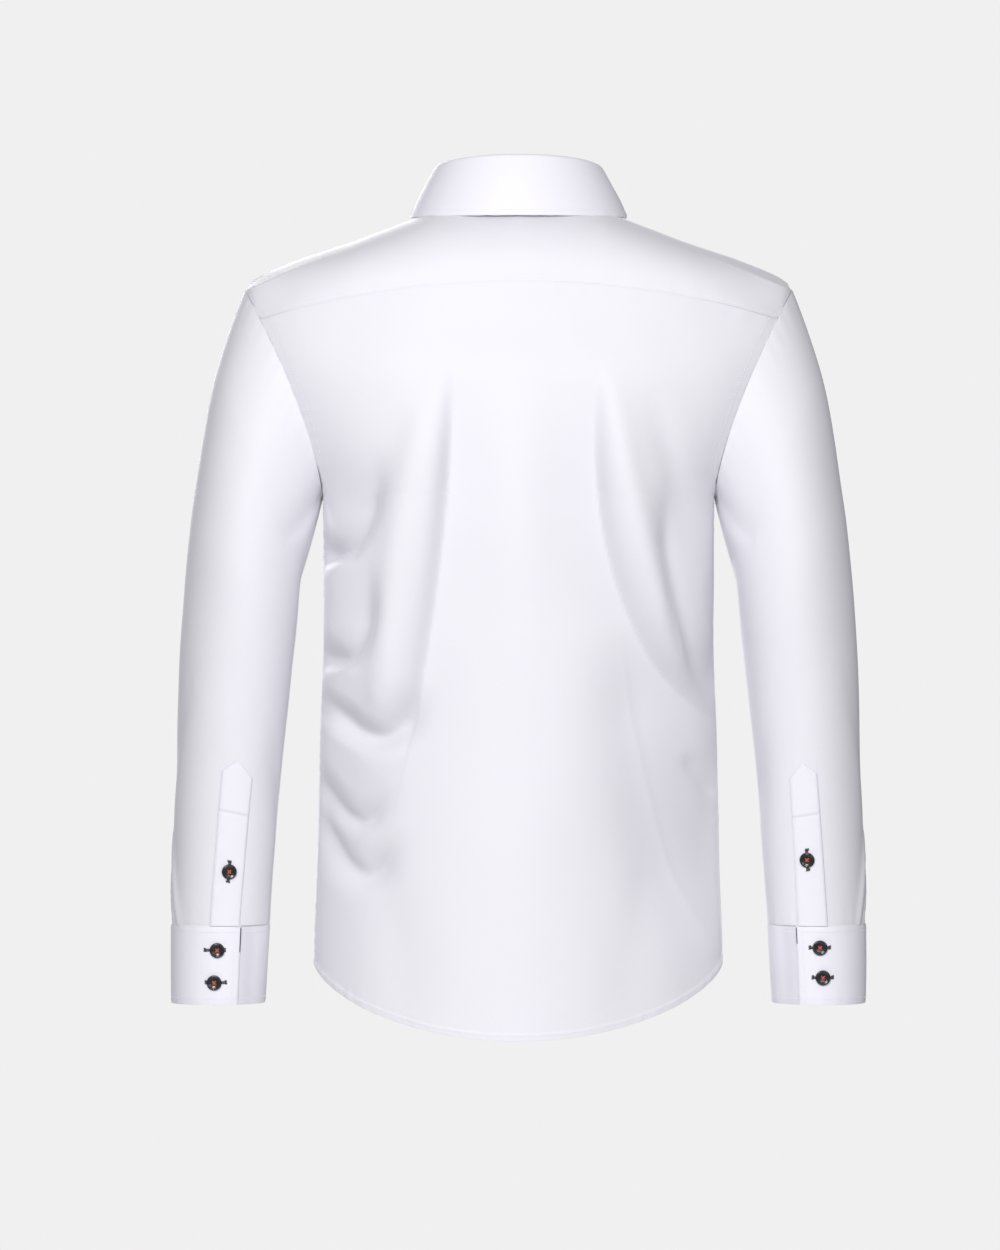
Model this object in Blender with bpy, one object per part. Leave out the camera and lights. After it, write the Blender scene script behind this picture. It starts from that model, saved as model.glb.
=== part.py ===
"""A man's long-sleeved button-up shirt, filled out as if worn, with nobody in it.

Metres, +Z up. The front faces -Y, the back faces +Y, and the wearer's left is +X.
The origin is the middle of the neck, level with the seam under the collar.
"""
import math
from collections import namedtuple

import bmesh
import bpy
import numpy as np

MM = 0.001

# ---- driving dimensions -------------------------------------------------
SEAM_GAP = 0.3 * MM            # between two pieces that are sewn together
CLOTH = 1.2 * MM               # wall of a single panel
BAND_CLOTH = 1.6 * MM          # collar, cuffs and plackets: cloth with an interlining
COLLAR_CLOTH = 1.8 * MM

ARMPIT_X, ARMPIT_Z = 170 * MM, -244 * MM
SHOULDER_X, SHOULDER_Z = 238 * MM, -64 * MM
ARMHOLE_BACK, ARMHOLE_FRONT = 68 * MM, 62 * MM
ARMHOLE_LEAN = 1.5             # how late the armhole seam leans out towards the shoulder
YOKE_BACK_ANGLE = math.radians(44.6)
YOKE_FRONT_ANGLE = math.radians(-30)

YOKE_SEAM_Z = -60 * MM         # back yoke seam at the centre
YOKE_SEAM_DROP = 30.5 * MM     # and how far it falls to the armhole
YOKE_SEAM_HALF = 223 * MM
CHEST_BASE_Z = -150 * MM       # where the upper chest starts to slope up to the shoulder
RIDGE_Y = -4 * MM              # the shoulder line, seen from above
BACK_ROUND, FRONT_ROUND = 2.2, 1.4
RIDGE_CLEAR = 0.1 * MM         # least height of the shoulder's section over its foot
EDGE_LIMIT = 0.98              # the armhole cuts a ring no nearer its middle than this share of its depth

NECK_HALF, NECK_BACK, NECK_FRONT = 72 * MM, 66 * MM, 78 * MM
NECK_SEAM_ANGLE = math.radians(-17)   # where the front yoke seam meets the neck

HEM_Z = -709.6 * MM            # lowest point of the back tail
HEM_SIDE_Z = -648 * MM
HEM_SQUARE, HEM_FULL = 2.0, 0.645  # how the shirt tail curves
FRONT_TAIL_SHORTER = 22 * MM

SLEEVE_END_Z = -615 * MM
CUFF_END_Z = -684 * MM

BODY_COLUMNS, BODY_ROWS_LOW, BODY_ROWS_HIGH = 32, 18, 9
FRONT_COLUMNS, SEAM_COLUMNS = 11, 8          # the yoke's front seam takes 8 of a front's columns
YOKE_NECK_COLUMNS, YOKE_ROWS = 6, 8
SLEEVE_COLUMNS, SLEEVE_ROWS = 24, 20

Ring = namedtuple("Ring", "z half back front square")
BODY = [Ring(-730, 177.0, 112, 114, 2.4),
        Ring(-640, 177.0, 113, 115, 2.4),
        Ring(-560, 174.4, 113, 115, 2.4),
        Ring(-460, 172.6, 112, 115, 2.4),
        Ring(-360, 169.4, 113, 118, 2.4),
        Ring(-244, 170.0, 118, 124, 2.4),
        Ring(-150, 231.0, 115, 112, 2.3),
        Ring(-90, 238.0, 103, 96, 2.2),
        Ring(-55, 240.0, 96, 84, 2.2)]

Ridge = namedtuple("Ridge", "x z")
RIDGE = [Ridge(0, 17), Ridge(40, 13), Ridge(72, 6), Ridge(94, -3), Ridge(120, -12.9), Ridge(148, -23.6),
         Ridge(178, -34.4), Ridge(203, -44.8), Ridge(225, -54.8), Ridge(238, -63.5), Ridge(246, -72)]

Edge = namedtuple("Edge", "z x")
SLEEVE_OUTER = [Edge(-64, 238), Edge(-90, 248.4), Edge(-125, 259.7), Edge(-160, 268.4), Edge(-194, 274.5),
                Edge(-229, 279.7), Edge(-264, 284.9), Edge(-299, 288.6), Edge(-333, 291.6), Edge(-403, 296.0),
                Edge(-507, 299.6), Edge(-615, 302.3)]
SLEEVE_INNER = [Edge(-244, 170), Edge(-264, 174.2), Edge(-281, 179), Edge(-298, 184), Edge(-333, 190),
                Edge(-368, 194.4), Edge(-438, 202.0), Edge(-507, 209.2), Edge(-577, 214.6), Edge(-615, 217.3)]

Limb = namedtuple("Limb", "share depth forward")
SLEEVE_DEPTH = [Limb(0.0, 65, 3), Limb(0.12, 69, 3), Limb(0.3, 70, 2), Limb(0.55, 62, -3), Limb(0.8, 53, -9),
                Limb(1.0, 46, -13)]

# A fold is a soft trough (depth above 0) or ridge (below 0) along a curve seen from behind, in mm.
Fold = namedtuple("Fold", "x0 z0 x1 z1 x2 z2 wide0 wide1 depth")
BACK_FOLDS = [Fold(57, -140, 67, -342, 128, -575, 8, 20, 10),       # long fold, left blade to waist
              Fold(86, -180, 118, -330, 119, -460, 12, 13, -6),     # the ridge beside it
              Fold(170, -240, 154, -338, 126, -186, 12, 14, 9),     # pouch under the left armhole
              Fold(172, -258, 150, -352, 119, -262, 6, 7, -4),
              Fold(128, -300, 146, -350, 160, -384, 11, 13, 7),     # second pouch
              Fold(166, -404, 148, -392, 134, -372, 6, 7, -4),
              Fold(168, -400, 140, -452, 100, -436, 9, 12, 8),      # third, joining the long fold
              Fold(168, -420, 150, -470, 128, -516, 9, 11, -6),
              Fold(168, -446, 156, -520, 132, -542, 7, 11, 6),
              Fold(170, -500, 160, -556, 140, -572, 7, 9, -3),
              Fold(-68, -130, -76, -330, -136, -545, 8, 24, 11),    # long fold, right blade to waist
              Fold(-77, -156, -104, -320, -148, -416, 12, 13, -6),
              Fold(-120, -168, -141, -430, -170, -384, 10, 14, 8),  # outer fold on the right
              Fold(-108, -416, -152, -446, -172, -424, 8, 8, 6),
              Fold(-150, -480, -162, -488, -174, -486, 6, 6, 3),
              Fold(-2, -150, -2, -270, -2, -400, 26, 30, -3)]
FRONT_FOLDS = [Fold(95, -150, 104, -300, 136, -470, 10, 20, 9),
               Fold(172, -246, 150, -344, 116, -236, 12, 13, 8),
               Fold(170, -330, 146, -410, 108, -420, 9, 12, 6),
               Fold(170, -450, 150, -520, 120, -560, 9, 12, 5),
               Fold(-92, -146, -106, -310, -140, -500, 10, 20, 9),
               Fold(-172, -246, -146, -330, -120, -232, 12, 12, 8),
               Fold(-170, -356, -150, -430, -112, -446, 9, 12, 6)]

FOLD_SAMPLES = 25
FOLD_ENDS = (0.06, 0.94)       # a fold keeps a little of its depth at both ends
FOLD_TAPER = 0.7
FOLD_FADE = 16 * MM            # folds die away this near the side seam

BUTTON_RADIUS, BUTTON_THICK = 6.0 * MM, 2.6 * MM
COTTON, COTTON_ROUGHNESS = (0.93, 0.93, 0.96, 1.0), 0.55
BLACK, BLACK_ROUGHNESS = (0.012, 0.012, 0.014, 1.0), 0.18
SHARP_ANGLE = math.radians(40)


# ---- small helpers --------------------------------------------------------
def smooth_value(rows, key, column, at):
    """Smooth curve through a table's column (both in mm), read at a place in metres."""
    rows = sorted(rows, key=lambda row: getattr(row, key))
    xs = [getattr(row, key) for row in rows]
    ys = [getattr(row, column) for row in rows]
    at = min(max(at, xs[0]), xs[-1])
    i = min(max(int(np.searchsorted(xs, at)) - 1, 0), len(xs) - 2)

    def slope(k):
        if k == 0 or k == len(xs) - 1:
            near = 1 if k == 0 else k
            return (ys[near] - ys[near - 1]) / (xs[near] - xs[near - 1])
        before = (ys[k] - ys[k - 1]) / (xs[k] - xs[k - 1])
        after = (ys[k + 1] - ys[k]) / (xs[k + 1] - xs[k])
        return 0.0 if before * after <= 0 else 2 * before * after / (before + after)

    wide = xs[i + 1] - xs[i]
    t = (at - xs[i]) / wide
    rise = (2 * t ** 3 - 3 * t ** 2 + 1) * ys[i] + (3 * t ** 2 - 2 * t ** 3) * ys[i + 1]
    return rise + wide * ((t ** 3 - 2 * t ** 2 + t) * slope(i) + (t ** 3 - t ** 2) * slope(i + 1))


def mix(a, b, t):
    return a + (b - a) * t


def ease(t):
    t = min(max(t, 0.0), 1.0)
    return t * t * (3 - 2 * t)


def unit(v):
    return v / max(np.linalg.norm(v), 1e-12)


def body_value(column, z):
    scale = 1.0 if column == "square" else MM
    return smooth_value(BODY, "z", column, z / MM) * scale


# ---- the form of the body -----------------------------------------------
def armhole(angle):
    """A point of the wearer's left armhole seam: 0 at the shoulder, 90 degrees behind."""
    rise = (1 + math.cos(angle)) / 2
    x = mix(ARMPIT_X, SHOULDER_X, rise ** ARMHOLE_LEAN)
    reach = ARMHOLE_BACK if math.sin(angle) > 0 else ARMHOLE_FRONT
    return np.array([x, reach * math.sin(angle), mix(ARMPIT_Z, SHOULDER_Z, rise)])


def armhole_at(z, side):
    """The armhole seam's point at a height, side +1 behind and -1 in front."""
    rise = min(max((z - ARMPIT_Z) / (SHOULDER_Z - ARMPIT_Z), 0.0), 1.0)
    return armhole(side * math.acos(2 * rise - 1))


def ring_half(z, side):
    """Half the width of the body's ring; above the armpit it is the ring that the armhole cuts."""
    if z <= ARMPIT_Z:
        return body_value("half", z)
    edge = armhole_at(z, side)
    start = edge_turn(z, side)
    return edge[0] / math.cos(start) ** (2 / body_value("square", z))


def edge_turn(z, side):
    """The angle round the ring at which the armhole cuts it."""
    if z <= ARMPIT_Z:
        return 0.0
    deep = body_value("back" if side > 0 else "front", z)
    share = min(abs(armhole_at(z, side)[1]) / deep, EDGE_LIMIT)
    return math.asin(share ** (body_value("square", z) / 2))


def ring_depth(x, z, side):
    """How far the body's ring reaches behind (+1) or in front (-1) at a place across it."""
    square = body_value("square", z)
    deep = body_value("back" if side > 0 else "front", z)
    share = min(abs(x) / ring_half(z, side), 1.0)
    return side * deep * (1 - share ** square) ** (1 / square)


def ring_point(turn, z, side):
    """turn 0 at the side (or the armhole, above the armpit) to 1 at the centre."""
    square = body_value("square", z)
    deep = body_value("back" if side > 0 else "front", z)
    angle = mix(edge_turn(z, side), math.pi / 2, turn)
    x = ring_half(z, side) * max(math.cos(angle), 0.0) ** (2 / square)
    return np.array([x, side * deep * math.sin(angle) ** (2 / square), z])


def seam_base(x, side):
    """Height from which the shoulder's section rises, and its roundness."""
    beyond = min(max((abs(x) - ARMPIT_X) / (SHOULDER_X - ARMPIT_X), 0.0), 1.0)
    on_armhole = mix(ARMPIT_Z, SHOULDER_Z, beyond ** (1 / ARMHOLE_LEAN))
    if side > 0:
        return max(YOKE_SEAM_Z - YOKE_SEAM_DROP * (abs(x) / YOKE_SEAM_HALF) ** 2, on_armhole), BACK_ROUND
    return max(CHEST_BASE_Z, on_armhole), FRONT_ROUND


def shoulder_frame(x, side):
    """Base height, roundness, foot and ridge height of the section over the shoulder."""
    base, power = seam_base(x, side)
    ridge = smooth_value(RIDGE, "x", "z", abs(x) / MM) * MM
    return base, power, ring_depth(x, base, side), max(ridge, base + RIDGE_CLEAR)


def shoulder_point(x, turn, side):
    """The section over the shoulder: turn 0 at its base behind or in front, 1 on the ridge."""
    base, power, foot, ridge = shoulder_frame(x, side)
    angle = turn * math.pi / 2
    y = mix(RIDGE_Y, foot, math.cos(angle) ** (2 / power))
    return np.array([x, y, mix(base, ridge, math.sin(angle) ** (2 / power))])


def shoulder_turn(x, y, side):
    """The turn at which the section over the shoulder passes y."""
    base, power, foot, ridge = shoulder_frame(x, side)
    share = min(max((y - RIDGE_Y) / (foot - RIDGE_Y), 0.0), 1.0)
    return math.acos(share ** (power / 2)) / (math.pi / 2)


def body_depth(x, z, side):
    """The body's surface behind or in front, at a place across it and a height."""
    base, power, foot, ridge = shoulder_frame(x, side)
    if z <= base:
        return ring_depth(x, z, side)
    rise = min((z - base) / (ridge - base), 1.0)
    return mix(RIDGE_Y, foot, (1 - rise ** power) ** (1 / power))


def on_shoulder(x, y):
    side = 1 if y > RIDGE_Y else -1
    return shoulder_point(x, shoulder_turn(x, y, side), side)


def neck(angle):
    """The neck seam: 0 on the wearer's left, 90 degrees behind."""
    reach = NECK_BACK if math.sin(angle) > 0 else NECK_FRONT
    return on_shoulder(NECK_HALF * math.cos(angle), reach * math.sin(angle))


def front_seam(share):
    """The yoke's front seam, 0 at the neck to 1 at the armhole."""
    start, end = neck(NECK_SEAM_ANGLE), armhole(YOKE_FRONT_ANGLE)
    x, y = mix(start[0], end[0], share), mix(start[1], end[1], share)
    return on_shoulder(x, y) if share < 1 else end


SLOPE_STEP = 0.5 * MM           # between the points that give the shoulder's slope


def seam_inside(row):
    """The inner points of a row along the front yoke seam, the same for both pieces."""
    step = SLOPE_STEP
    inside = []
    for x, y, z in row:
        across = on_shoulder(x + step, y) - on_shoulder(x - step, y)
        along = on_shoulder(x, y + step) - on_shoulder(x, y - step)
        inside.append(np.array([x, y, z]) - unit(np.cross(across, along)) * CLOTH)
    return np.array(inside)


def hem_z(x, side):
    share = min(abs(x) / body_value("half", HEM_SIDE_Z), 1.0)
    low = HEM_Z + (0 if side > 0 else FRONT_TAIL_SHORTER)
    return mix(HEM_SIDE_Z, low, (1 - share ** HEM_SQUARE) ** HEM_FULL)


def fold_path(fold, t):
    x = (1 - t) ** 2 * fold.x0 + 2 * t * (1 - t) * fold.x1 + t * t * fold.x2
    z = (1 - t) ** 2 * fold.z0 + 2 * t * (1 - t) * fold.z1 + t * t * fold.z2
    return x, z


def fold_push(x, z, folds):
    """How far the folds move a place inwards, in metres."""
    t = np.linspace(0, 1, FOLD_SAMPLES)
    push = 0.0
    for fold in folds:
        px, pz = fold_path(fold, t)
        apart = np.hypot(px - x / MM, pz - z / MM)
        i = int(np.argmin(apart))
        wide = mix(fold.wide0, fold.wide1, t[i])
        along = math.sin(math.pi * mix(*FOLD_ENDS, t[i])) ** FOLD_TAPER
        push += fold.depth * along * math.exp(-(apart[i] / wide) ** 2)
    return push * MM


def folded(grid, side):
    """Push a grid of points in along its normals by the folds of that side."""
    folds = BACK_FOLDS if side > 0 else FRONT_FOLDS
    normals = grid_normals(grid, False)
    result = grid.copy()
    rows, columns = grid.shape[:2]
    for i in range(rows):
        for j in range(columns):
            x, y, z = grid[i, j]
            near_side = 1 - math.exp(-(y / FOLD_FADE) ** 2)
            result[i, j] -= normals[i, j] * fold_push(x, z, folds) * near_side
    return result


# ---- grids of points and the walls made from them --------------------------
def grid_normals(grid, closed):
    """Unit normals of a grid (rows, columns, 3), pointing to columns x rows."""
    if closed:
        across = np.roll(grid, -1, axis=1) - np.roll(grid, 1, axis=1)
    else:
        across = np.gradient(grid, axis=1)
    along = np.gradient(grid, axis=0)
    normals = np.cross(across, along)
    return normals / np.maximum(np.linalg.norm(normals, axis=2, keepdims=True), 1e-12)


def trimmed(grid, rows=(1, 1), columns=(1, 1)):
    """Move a grid's edges in by half a seam gap where a share of 1 is given."""
    grid = grid.copy()
    for axis, shares in ((0, rows), (1, columns)):
        for end, inner, share in ((0, 1, shares[0]), (-1, -2, shares[1])):
            edge = np.take(grid, end, axis=axis)
            step = np.take(grid, inner, axis=axis) - edge
            step /= np.maximum(np.linalg.norm(step, axis=1, keepdims=True), 1e-9)
            moved = edge + step * (SEAM_GAP / 2 * share)
            if axis == 0:
                grid[end] = moved
            else:
                grid[:, end] = moved
    return grid


def mesh_object(name, vertices, faces, colour, roughness):
    mesh = bpy.data.meshes.new(name)
    mesh.from_pydata([tuple(v) for v in vertices], [], faces)
    shape = bmesh.new()
    shape.from_mesh(mesh)
    bmesh.ops.triangulate(shape, faces=shape.faces)
    bmesh.ops.recalc_face_normals(shape, faces=shape.faces)
    shape.to_mesh(mesh)
    shape.free()
    mesh.shade_smooth()
    mesh.set_sharp_from_angle(angle=SHARP_ANGLE)
    material = bpy.data.materials.new(name)
    material.use_nodes = True
    shader = material.node_tree.nodes["Principled BSDF"]
    shader.inputs["Base Color"].default_value = colour
    shader.inputs["Roughness"].default_value = roughness
    shader.inputs["Metallic"].default_value = 0.0
    mesh.materials.append(material)
    made = bpy.data.objects.new(name, mesh)
    bpy.context.scene.collection.objects.link(made)
    return made


def wall(name, outer, thick, closed=False, inner=None):
    """A closed wall from its outer grid; the inner points lie one thickness inside."""
    rows, columns = outer.shape[:2]
    if inner is None:
        inner = outer - grid_normals(outer, closed) * thick
    vertices = np.concatenate([outer.reshape(-1, 3), inner.reshape(-1, 3)])
    under = rows * columns
    faces = []
    last = columns if closed else columns - 1

    def at(i, j):
        return i * columns + j % columns

    for i in range(rows - 1):
        for j in range(last):
            a, b, c, d = at(i, j), at(i, j + 1), at(i + 1, j + 1), at(i + 1, j)
            faces.append((a, b, c, d))
            faces.append((under + d, under + c, under + b, under + a))
    for j in range(last):
        for i in (0, rows - 1):
            a, b = at(i, j), at(i, j + 1)
            faces.append((a, b, under + b, under + a))
    if not closed:
        for i in range(rows - 1):
            for j in (0, columns - 1):
                a, d = at(i, j), at(i + 1, j)
                faces.append((a, d, under + d, under + a))
    return mesh_object(name, vertices, faces, COTTON, COTTON_ROUGHNESS)


def mirrored(grid):
    """The same piece for the wearer's right side, with its columns turned to keep the outside out."""
    return (grid * np.array([-1.0, 1.0, 1.0]))[:, ::-1]


# ---- body panels -------------------------------------------------------------
def cut_direction(point):
    """From the armhole seam towards the middle of the armhole."""
    middle = (armhole(0) + armhole(math.pi)) / 2
    return unit(middle - point)


def armhole_axis():
    return unit(np.cross(armhole(math.pi / 2) - armhole(-math.pi / 2), armhole(0) - armhole(math.pi)))


SEAM_PASSES = 6                 # rounds of finding where a column meets the back yoke seam


def back_column(turn):
    """Points from the hem to the yoke seam; turn 0 at the side to 1 at the centre."""
    points = []
    for i in range(BODY_ROWS_LOW + 1):
        rise = i / BODY_ROWS_LOW
        x = ring_point(turn, HEM_SIDE_Z, 1)[0]
        points.append(ring_point(turn, mix(hem_z(x, 1), ARMPIT_Z, rise), 1))
    edge = armhole(YOKE_BACK_ANGLE)
    for i in range(1, BODY_ROWS_HIGH + 1):
        rise = i / BODY_ROWS_HIGH
        top = edge[2]
        for _ in range(SEAM_PASSES):
            top = seam_base(ring_point(turn, top, 1)[0], 1)[0] if turn > 0 else edge[2]
        points.append(ring_point(turn, mix(ARMPIT_Z, top, rise), 1))
    return points


def back_grid():
    """Hem to yoke seam, from the wearer's right side to the left."""
    half = BODY_COLUMNS // 2
    left = np.array([back_column(j / half) for j in range(half + 1)]).transpose(1, 0, 2)
    right = left * np.array([-1.0, 1.0, 1.0])
    grid = np.concatenate([left, right[:, ::-1][:, 1:]], axis=1)
    return folded(grid, 1)


def front_column(share):
    """share 0 at the side to 1 at the centre line of the front."""
    corner = SEAM_COLUMNS / FRONT_COLUMNS
    if share > corner:
        angle = mix(NECK_SEAM_ANGLE, -math.pi / 2, (share - corner) / (1 - corner))
        top = neck(angle)
    else:
        top = front_seam(1 - share / corner)
    points = []
    x = ring_point(share, HEM_SIDE_Z, -1)[0]
    for i in range(BODY_ROWS_LOW + 1):
        points.append(ring_point(share, mix(hem_z(x, -1), ARMPIT_Z, i / BODY_ROWS_LOW), -1))
    low_ratio = ring_point(share, ARMPIT_Z, -1)[0] / ARMPIT_X
    top_ratio = top[0] / armhole_at(top[2], -1)[0]
    for i in range(1, BODY_ROWS_HIGH + 1):
        rise = i / BODY_ROWS_HIGH
        z = mix(ARMPIT_Z, top[2], rise)
        edge = armhole_at(z, -1)
        x = edge[0] * mix(low_ratio, top_ratio, rise)
        if share == 0:
            points.append(edge)
        elif i == BODY_ROWS_HIGH:
            points.append(top)
        else:
            points.append(np.array([x, body_depth(x, z, -1), z]))
    return points


def front_grid():
    grid = np.array([front_column(j / FRONT_COLUMNS) for j in range(FRONT_COLUMNS + 1)]).transpose(1, 0, 2)
    return grid[:, ::-1]


YOKE_NECK_FOOT_X = 90 * MM      # where the column that ends at the neck's corner leaves the back seam
YOKE_BLEND_COLUMNS = 5          # columns over which the yoke is drawn to the armhole


def yoke_grid():
    """Back seam to neck and front seams, from the wearer's right armhole to the left."""
    half = SEAM_COLUMNS + YOKE_NECK_COLUMNS
    columns = []
    rows = YOKE_ROWS
    for j in range(half + 1):
        if j <= SEAM_COLUMNS:
            share = j / SEAM_COLUMNS
            top = front_seam(1 - share)
            side = -1
            foot_x = mix(YOKE_SEAM_HALF, YOKE_NECK_FOOT_X, share)
        else:
            share = (j - SEAM_COLUMNS) / YOKE_NECK_COLUMNS
            top = neck(mix(NECK_SEAM_ANGLE, math.pi / 2, share))
            side = 1 if top[1] > RIDGE_Y else -1
            foot_x = mix(YOKE_NECK_FOOT_X, 0.0, share)
        turn = shoulder_turn(top[0], top[1], side)
        total = turn if side > 0 else 2 - turn
        column = []
        for i in range(rows + 1):
            rise = i / rows
            x = mix(foot_x, top[0], rise)
            here = rise * total
            if here <= 1:
                point = shoulder_point(x, here, 1)
            else:
                point = shoulder_point(x, 2 - here, -1)
            column.append(point)
        columns.append(column)
    grid = np.array(columns).transpose(1, 0, 2)
    for i in range(rows + 1):
        true_edge = armhole(mix(YOKE_BACK_ANGLE, YOKE_FRONT_ANGLE, i / rows))
        miss = true_edge - grid[i, 0]
        for j in range(YOKE_BLEND_COLUMNS):
            grid[i, j] += miss * (1 - ease(j / YOKE_BLEND_COLUMNS))
    right = grid * np.array([-1.0, 1.0, 1.0])
    return np.concatenate([grid, right[:, ::-1][:, 1:]], axis=1)


# ---- sleeves, cuffs and what is sewn on them --------------------------------
SLEEVE_HEAD = 0.14              # share of the sleeve over which it takes the armhole's shape


def sleeve_point(share, angle):
    """The left sleeve: share 0 at the armhole to 1 at the cuff; angle 0 outside, 90 degrees behind."""
    outer_z = mix(SHOULDER_Z, SLEEVE_END_Z, share)
    inner_z = mix(ARMPIT_Z, SLEEVE_END_Z, share)
    outer_x = smooth_value(SLEEVE_OUTER, "z", "x", outer_z / MM) * MM
    inner_x = smooth_value(SLEEVE_INNER, "z", "x", inner_z / MM) * MM
    depth = smooth_value(SLEEVE_DEPTH, "share", "depth", share) * MM
    forward = smooth_value(SLEEVE_DEPTH, "share", "forward", share) * MM
    across = (1 + math.cos(angle)) / 2
    place = np.array([mix(inner_x, outer_x, across), forward + depth * math.sin(angle),
                      mix(inner_z, outer_z, across)])
    seam = armhole(angle)
    return mix(place, seam, 1 - ease(share / SLEEVE_HEAD))


def sleeve_grid():
    """Rings from the armhole down to the cuff."""
    rows = []
    for i in range(SLEEVE_ROWS + 1):
        share = i / SLEEVE_ROWS
        rows.append([sleeve_point(share, -2 * math.pi * j / SLEEVE_COLUMNS) for j in range(SLEEVE_COLUMNS)])
    grid = np.array(rows)
    grid[0] += armhole_axis() * SEAM_GAP / 2
    grid[-1, :, 2] += SEAM_GAP / 2
    return grid


def sleeve_wall(grid):
    inner = grid - grid_normals(grid, True) * CLOTH
    for j in range(grid.shape[1]):
        inner[0, j] = grid[0, j] + cut_direction(grid[0, j]) * CLOTH
    return grid, inner


Cuff = namedtuple("Cuff", "z middle half depth forward")
CUFF = [Cuff(-615, 259.8, 43.4, 46.6, -13.0), Cuff(-650, 261.0, 42.4, 45.6, -13.6),
        Cuff(-684, 261.9, 41.2, 44.6, -14.2)]
CUFF_EDGE_ANGLE = 114          # the cuff's upper end, in degrees round the sleeve
CUFF_UNDERLAP = 32
CUFF_SINK_FROM, CUFF_SINK_OVER = 285, 60     # degrees from the upper end where it starts to go under itself
UNDERLAP_CLEAR = 0.5 * MM
CUFF_ROWS, CUFF_COLUMNS = 3, 28


def cuff_point(share, degrees, sink):
    """A point of the cuff; sink moves it towards the wrist."""
    z = mix(SLEEVE_END_Z - SEAM_GAP / 2, CUFF_END_Z, share)
    middle, half, depth, forward = (smooth_value(CUFF, "z", name, z / MM) * MM
                                    for name in ("middle", "half", "depth", "forward"))
    angle = math.radians(degrees)
    return np.array([middle + (half - sink) * math.cos(angle), forward + (depth - sink) * math.sin(angle), z])


def cuff_grid():
    """From the upper end, round the outside and the front, to the end hidden under it."""
    sweep = 360 + CUFF_UNDERLAP
    rows = []
    for i in range(CUFF_ROWS + 1):
        row = []
        for j in range(CUFF_COLUMNS + 1):
            turned = sweep * j / CUFF_COLUMNS
            under = ease((turned - CUFF_SINK_FROM) / CUFF_SINK_OVER) * (BAND_CLOTH + UNDERLAP_CLEAR)
            row.append(cuff_point(i / CUFF_ROWS, CUFF_EDGE_ANGLE - turned, under))
        rows.append(row)
    return np.array(rows)


Gauntlet = namedtuple("Gauntlet", "share low high")
GAUNTLET_TOP = Gauntlet(0.709, 88.0, 120.3)
GAUNTLET_END = Gauntlet(0.9996, 80.2, 114.5)
GAUNTLET_TIP = 0.027
GAUNTLET_ROWS, GAUNTLET_COLUMNS = 7, 4
GAUNTLET_LIFT = 2.2 * SEAM_GAP


def gauntlet_grids():
    """The outer and inner points of the pointed sleeve placket."""
    base = []
    for i in range(GAUNTLET_ROWS + 1):
        down = 1 - i / GAUNTLET_ROWS
        share = mix(GAUNTLET_TOP.share, GAUNTLET_END.share, down)
        low = mix(GAUNTLET_TOP.low, GAUNTLET_END.low, down)
        high = mix(GAUNTLET_TOP.high, GAUNTLET_END.high, down)
        row = []
        for j in range(GAUNTLET_COLUMNS + 1):
            across = j / GAUNTLET_COLUMNS
            tip = GAUNTLET_TIP * (1 - abs(2 * across - 1)) if i == GAUNTLET_ROWS else 0.0
            row.append(sleeve_point(share - tip, math.radians(mix(low, high, across))))
        base.append(row)
    base = np.array(base)
    normals = grid_normals(base, False)
    return base + normals * (GAUNTLET_LIFT + BAND_CLOTH), base + normals * GAUNTLET_LIFT


# ---- collar ------------------------------------------------------------------
CollarTop = namedtuple("CollarTop", "half back front side_z back_z front_z")
STAND_TOP = CollarTop(71.5, 60, 68, 37.4, 47.0, -33)
STAND_BACK_RISE, STAND_FRONT_FALL = 0.8, 1.1   # how the top edge rises behind and falls in front
LEAF_BACK_Y, LEAF_BACK_Z = 75.5 * MM, 0.2 * MM
LEAF_SIDE_X, LEAF_SIDE_Z = 94.4 * MM, -0.6 * MM
LEAF_POINT = np.array([46, -99, -90]) * MM
LEAF_END_DEGREES = -80
STAND_END_DEGREES = -99
LEAF_SWEEP = (1.6, 1.1, 0.4)    # how the edge goes across, forward and up on its way to the point
LEAF_ROLL = ((-1.6, 2.5), (0.8, 2.9), (2.8, 1.4))   # mm out and up from the stand's top edge
LEAF_BOW, LEAF_FRONT_BOW = 1.2 * MM, 2.4 * MM
COLLAR_COLUMNS, STAND_ROWS, LEAF_ROWS = 32, 3, 5
STAND_LIFT, STAND_FRONT_LIFT = 0.4 * MM, 1.0 * MM   # over the neck seam
STAND_INSET = 1.3 * MM
STAND_SINK_FROM, STAND_SINK_OVER, STAND_CLEAR = 244, 14, 0.6 * MM   # where the right end goes under the left


def stand_top(degrees):
    """Where the collar folds over, round the neck."""
    angle = math.radians(degrees)
    up = math.sin(angle)
    reach = STAND_TOP.back if up > 0 else STAND_TOP.front
    if up > 0:
        z = mix(STAND_TOP.side_z, STAND_TOP.back_z, up ** STAND_BACK_RISE)
    else:
        z = mix(STAND_TOP.side_z, STAND_TOP.front_z, 1 - math.sqrt(max(1 - up * up, 0)) ** STAND_FRONT_FALL)
    return np.array([STAND_TOP.half * math.cos(angle), reach * up, z]) * MM


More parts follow.
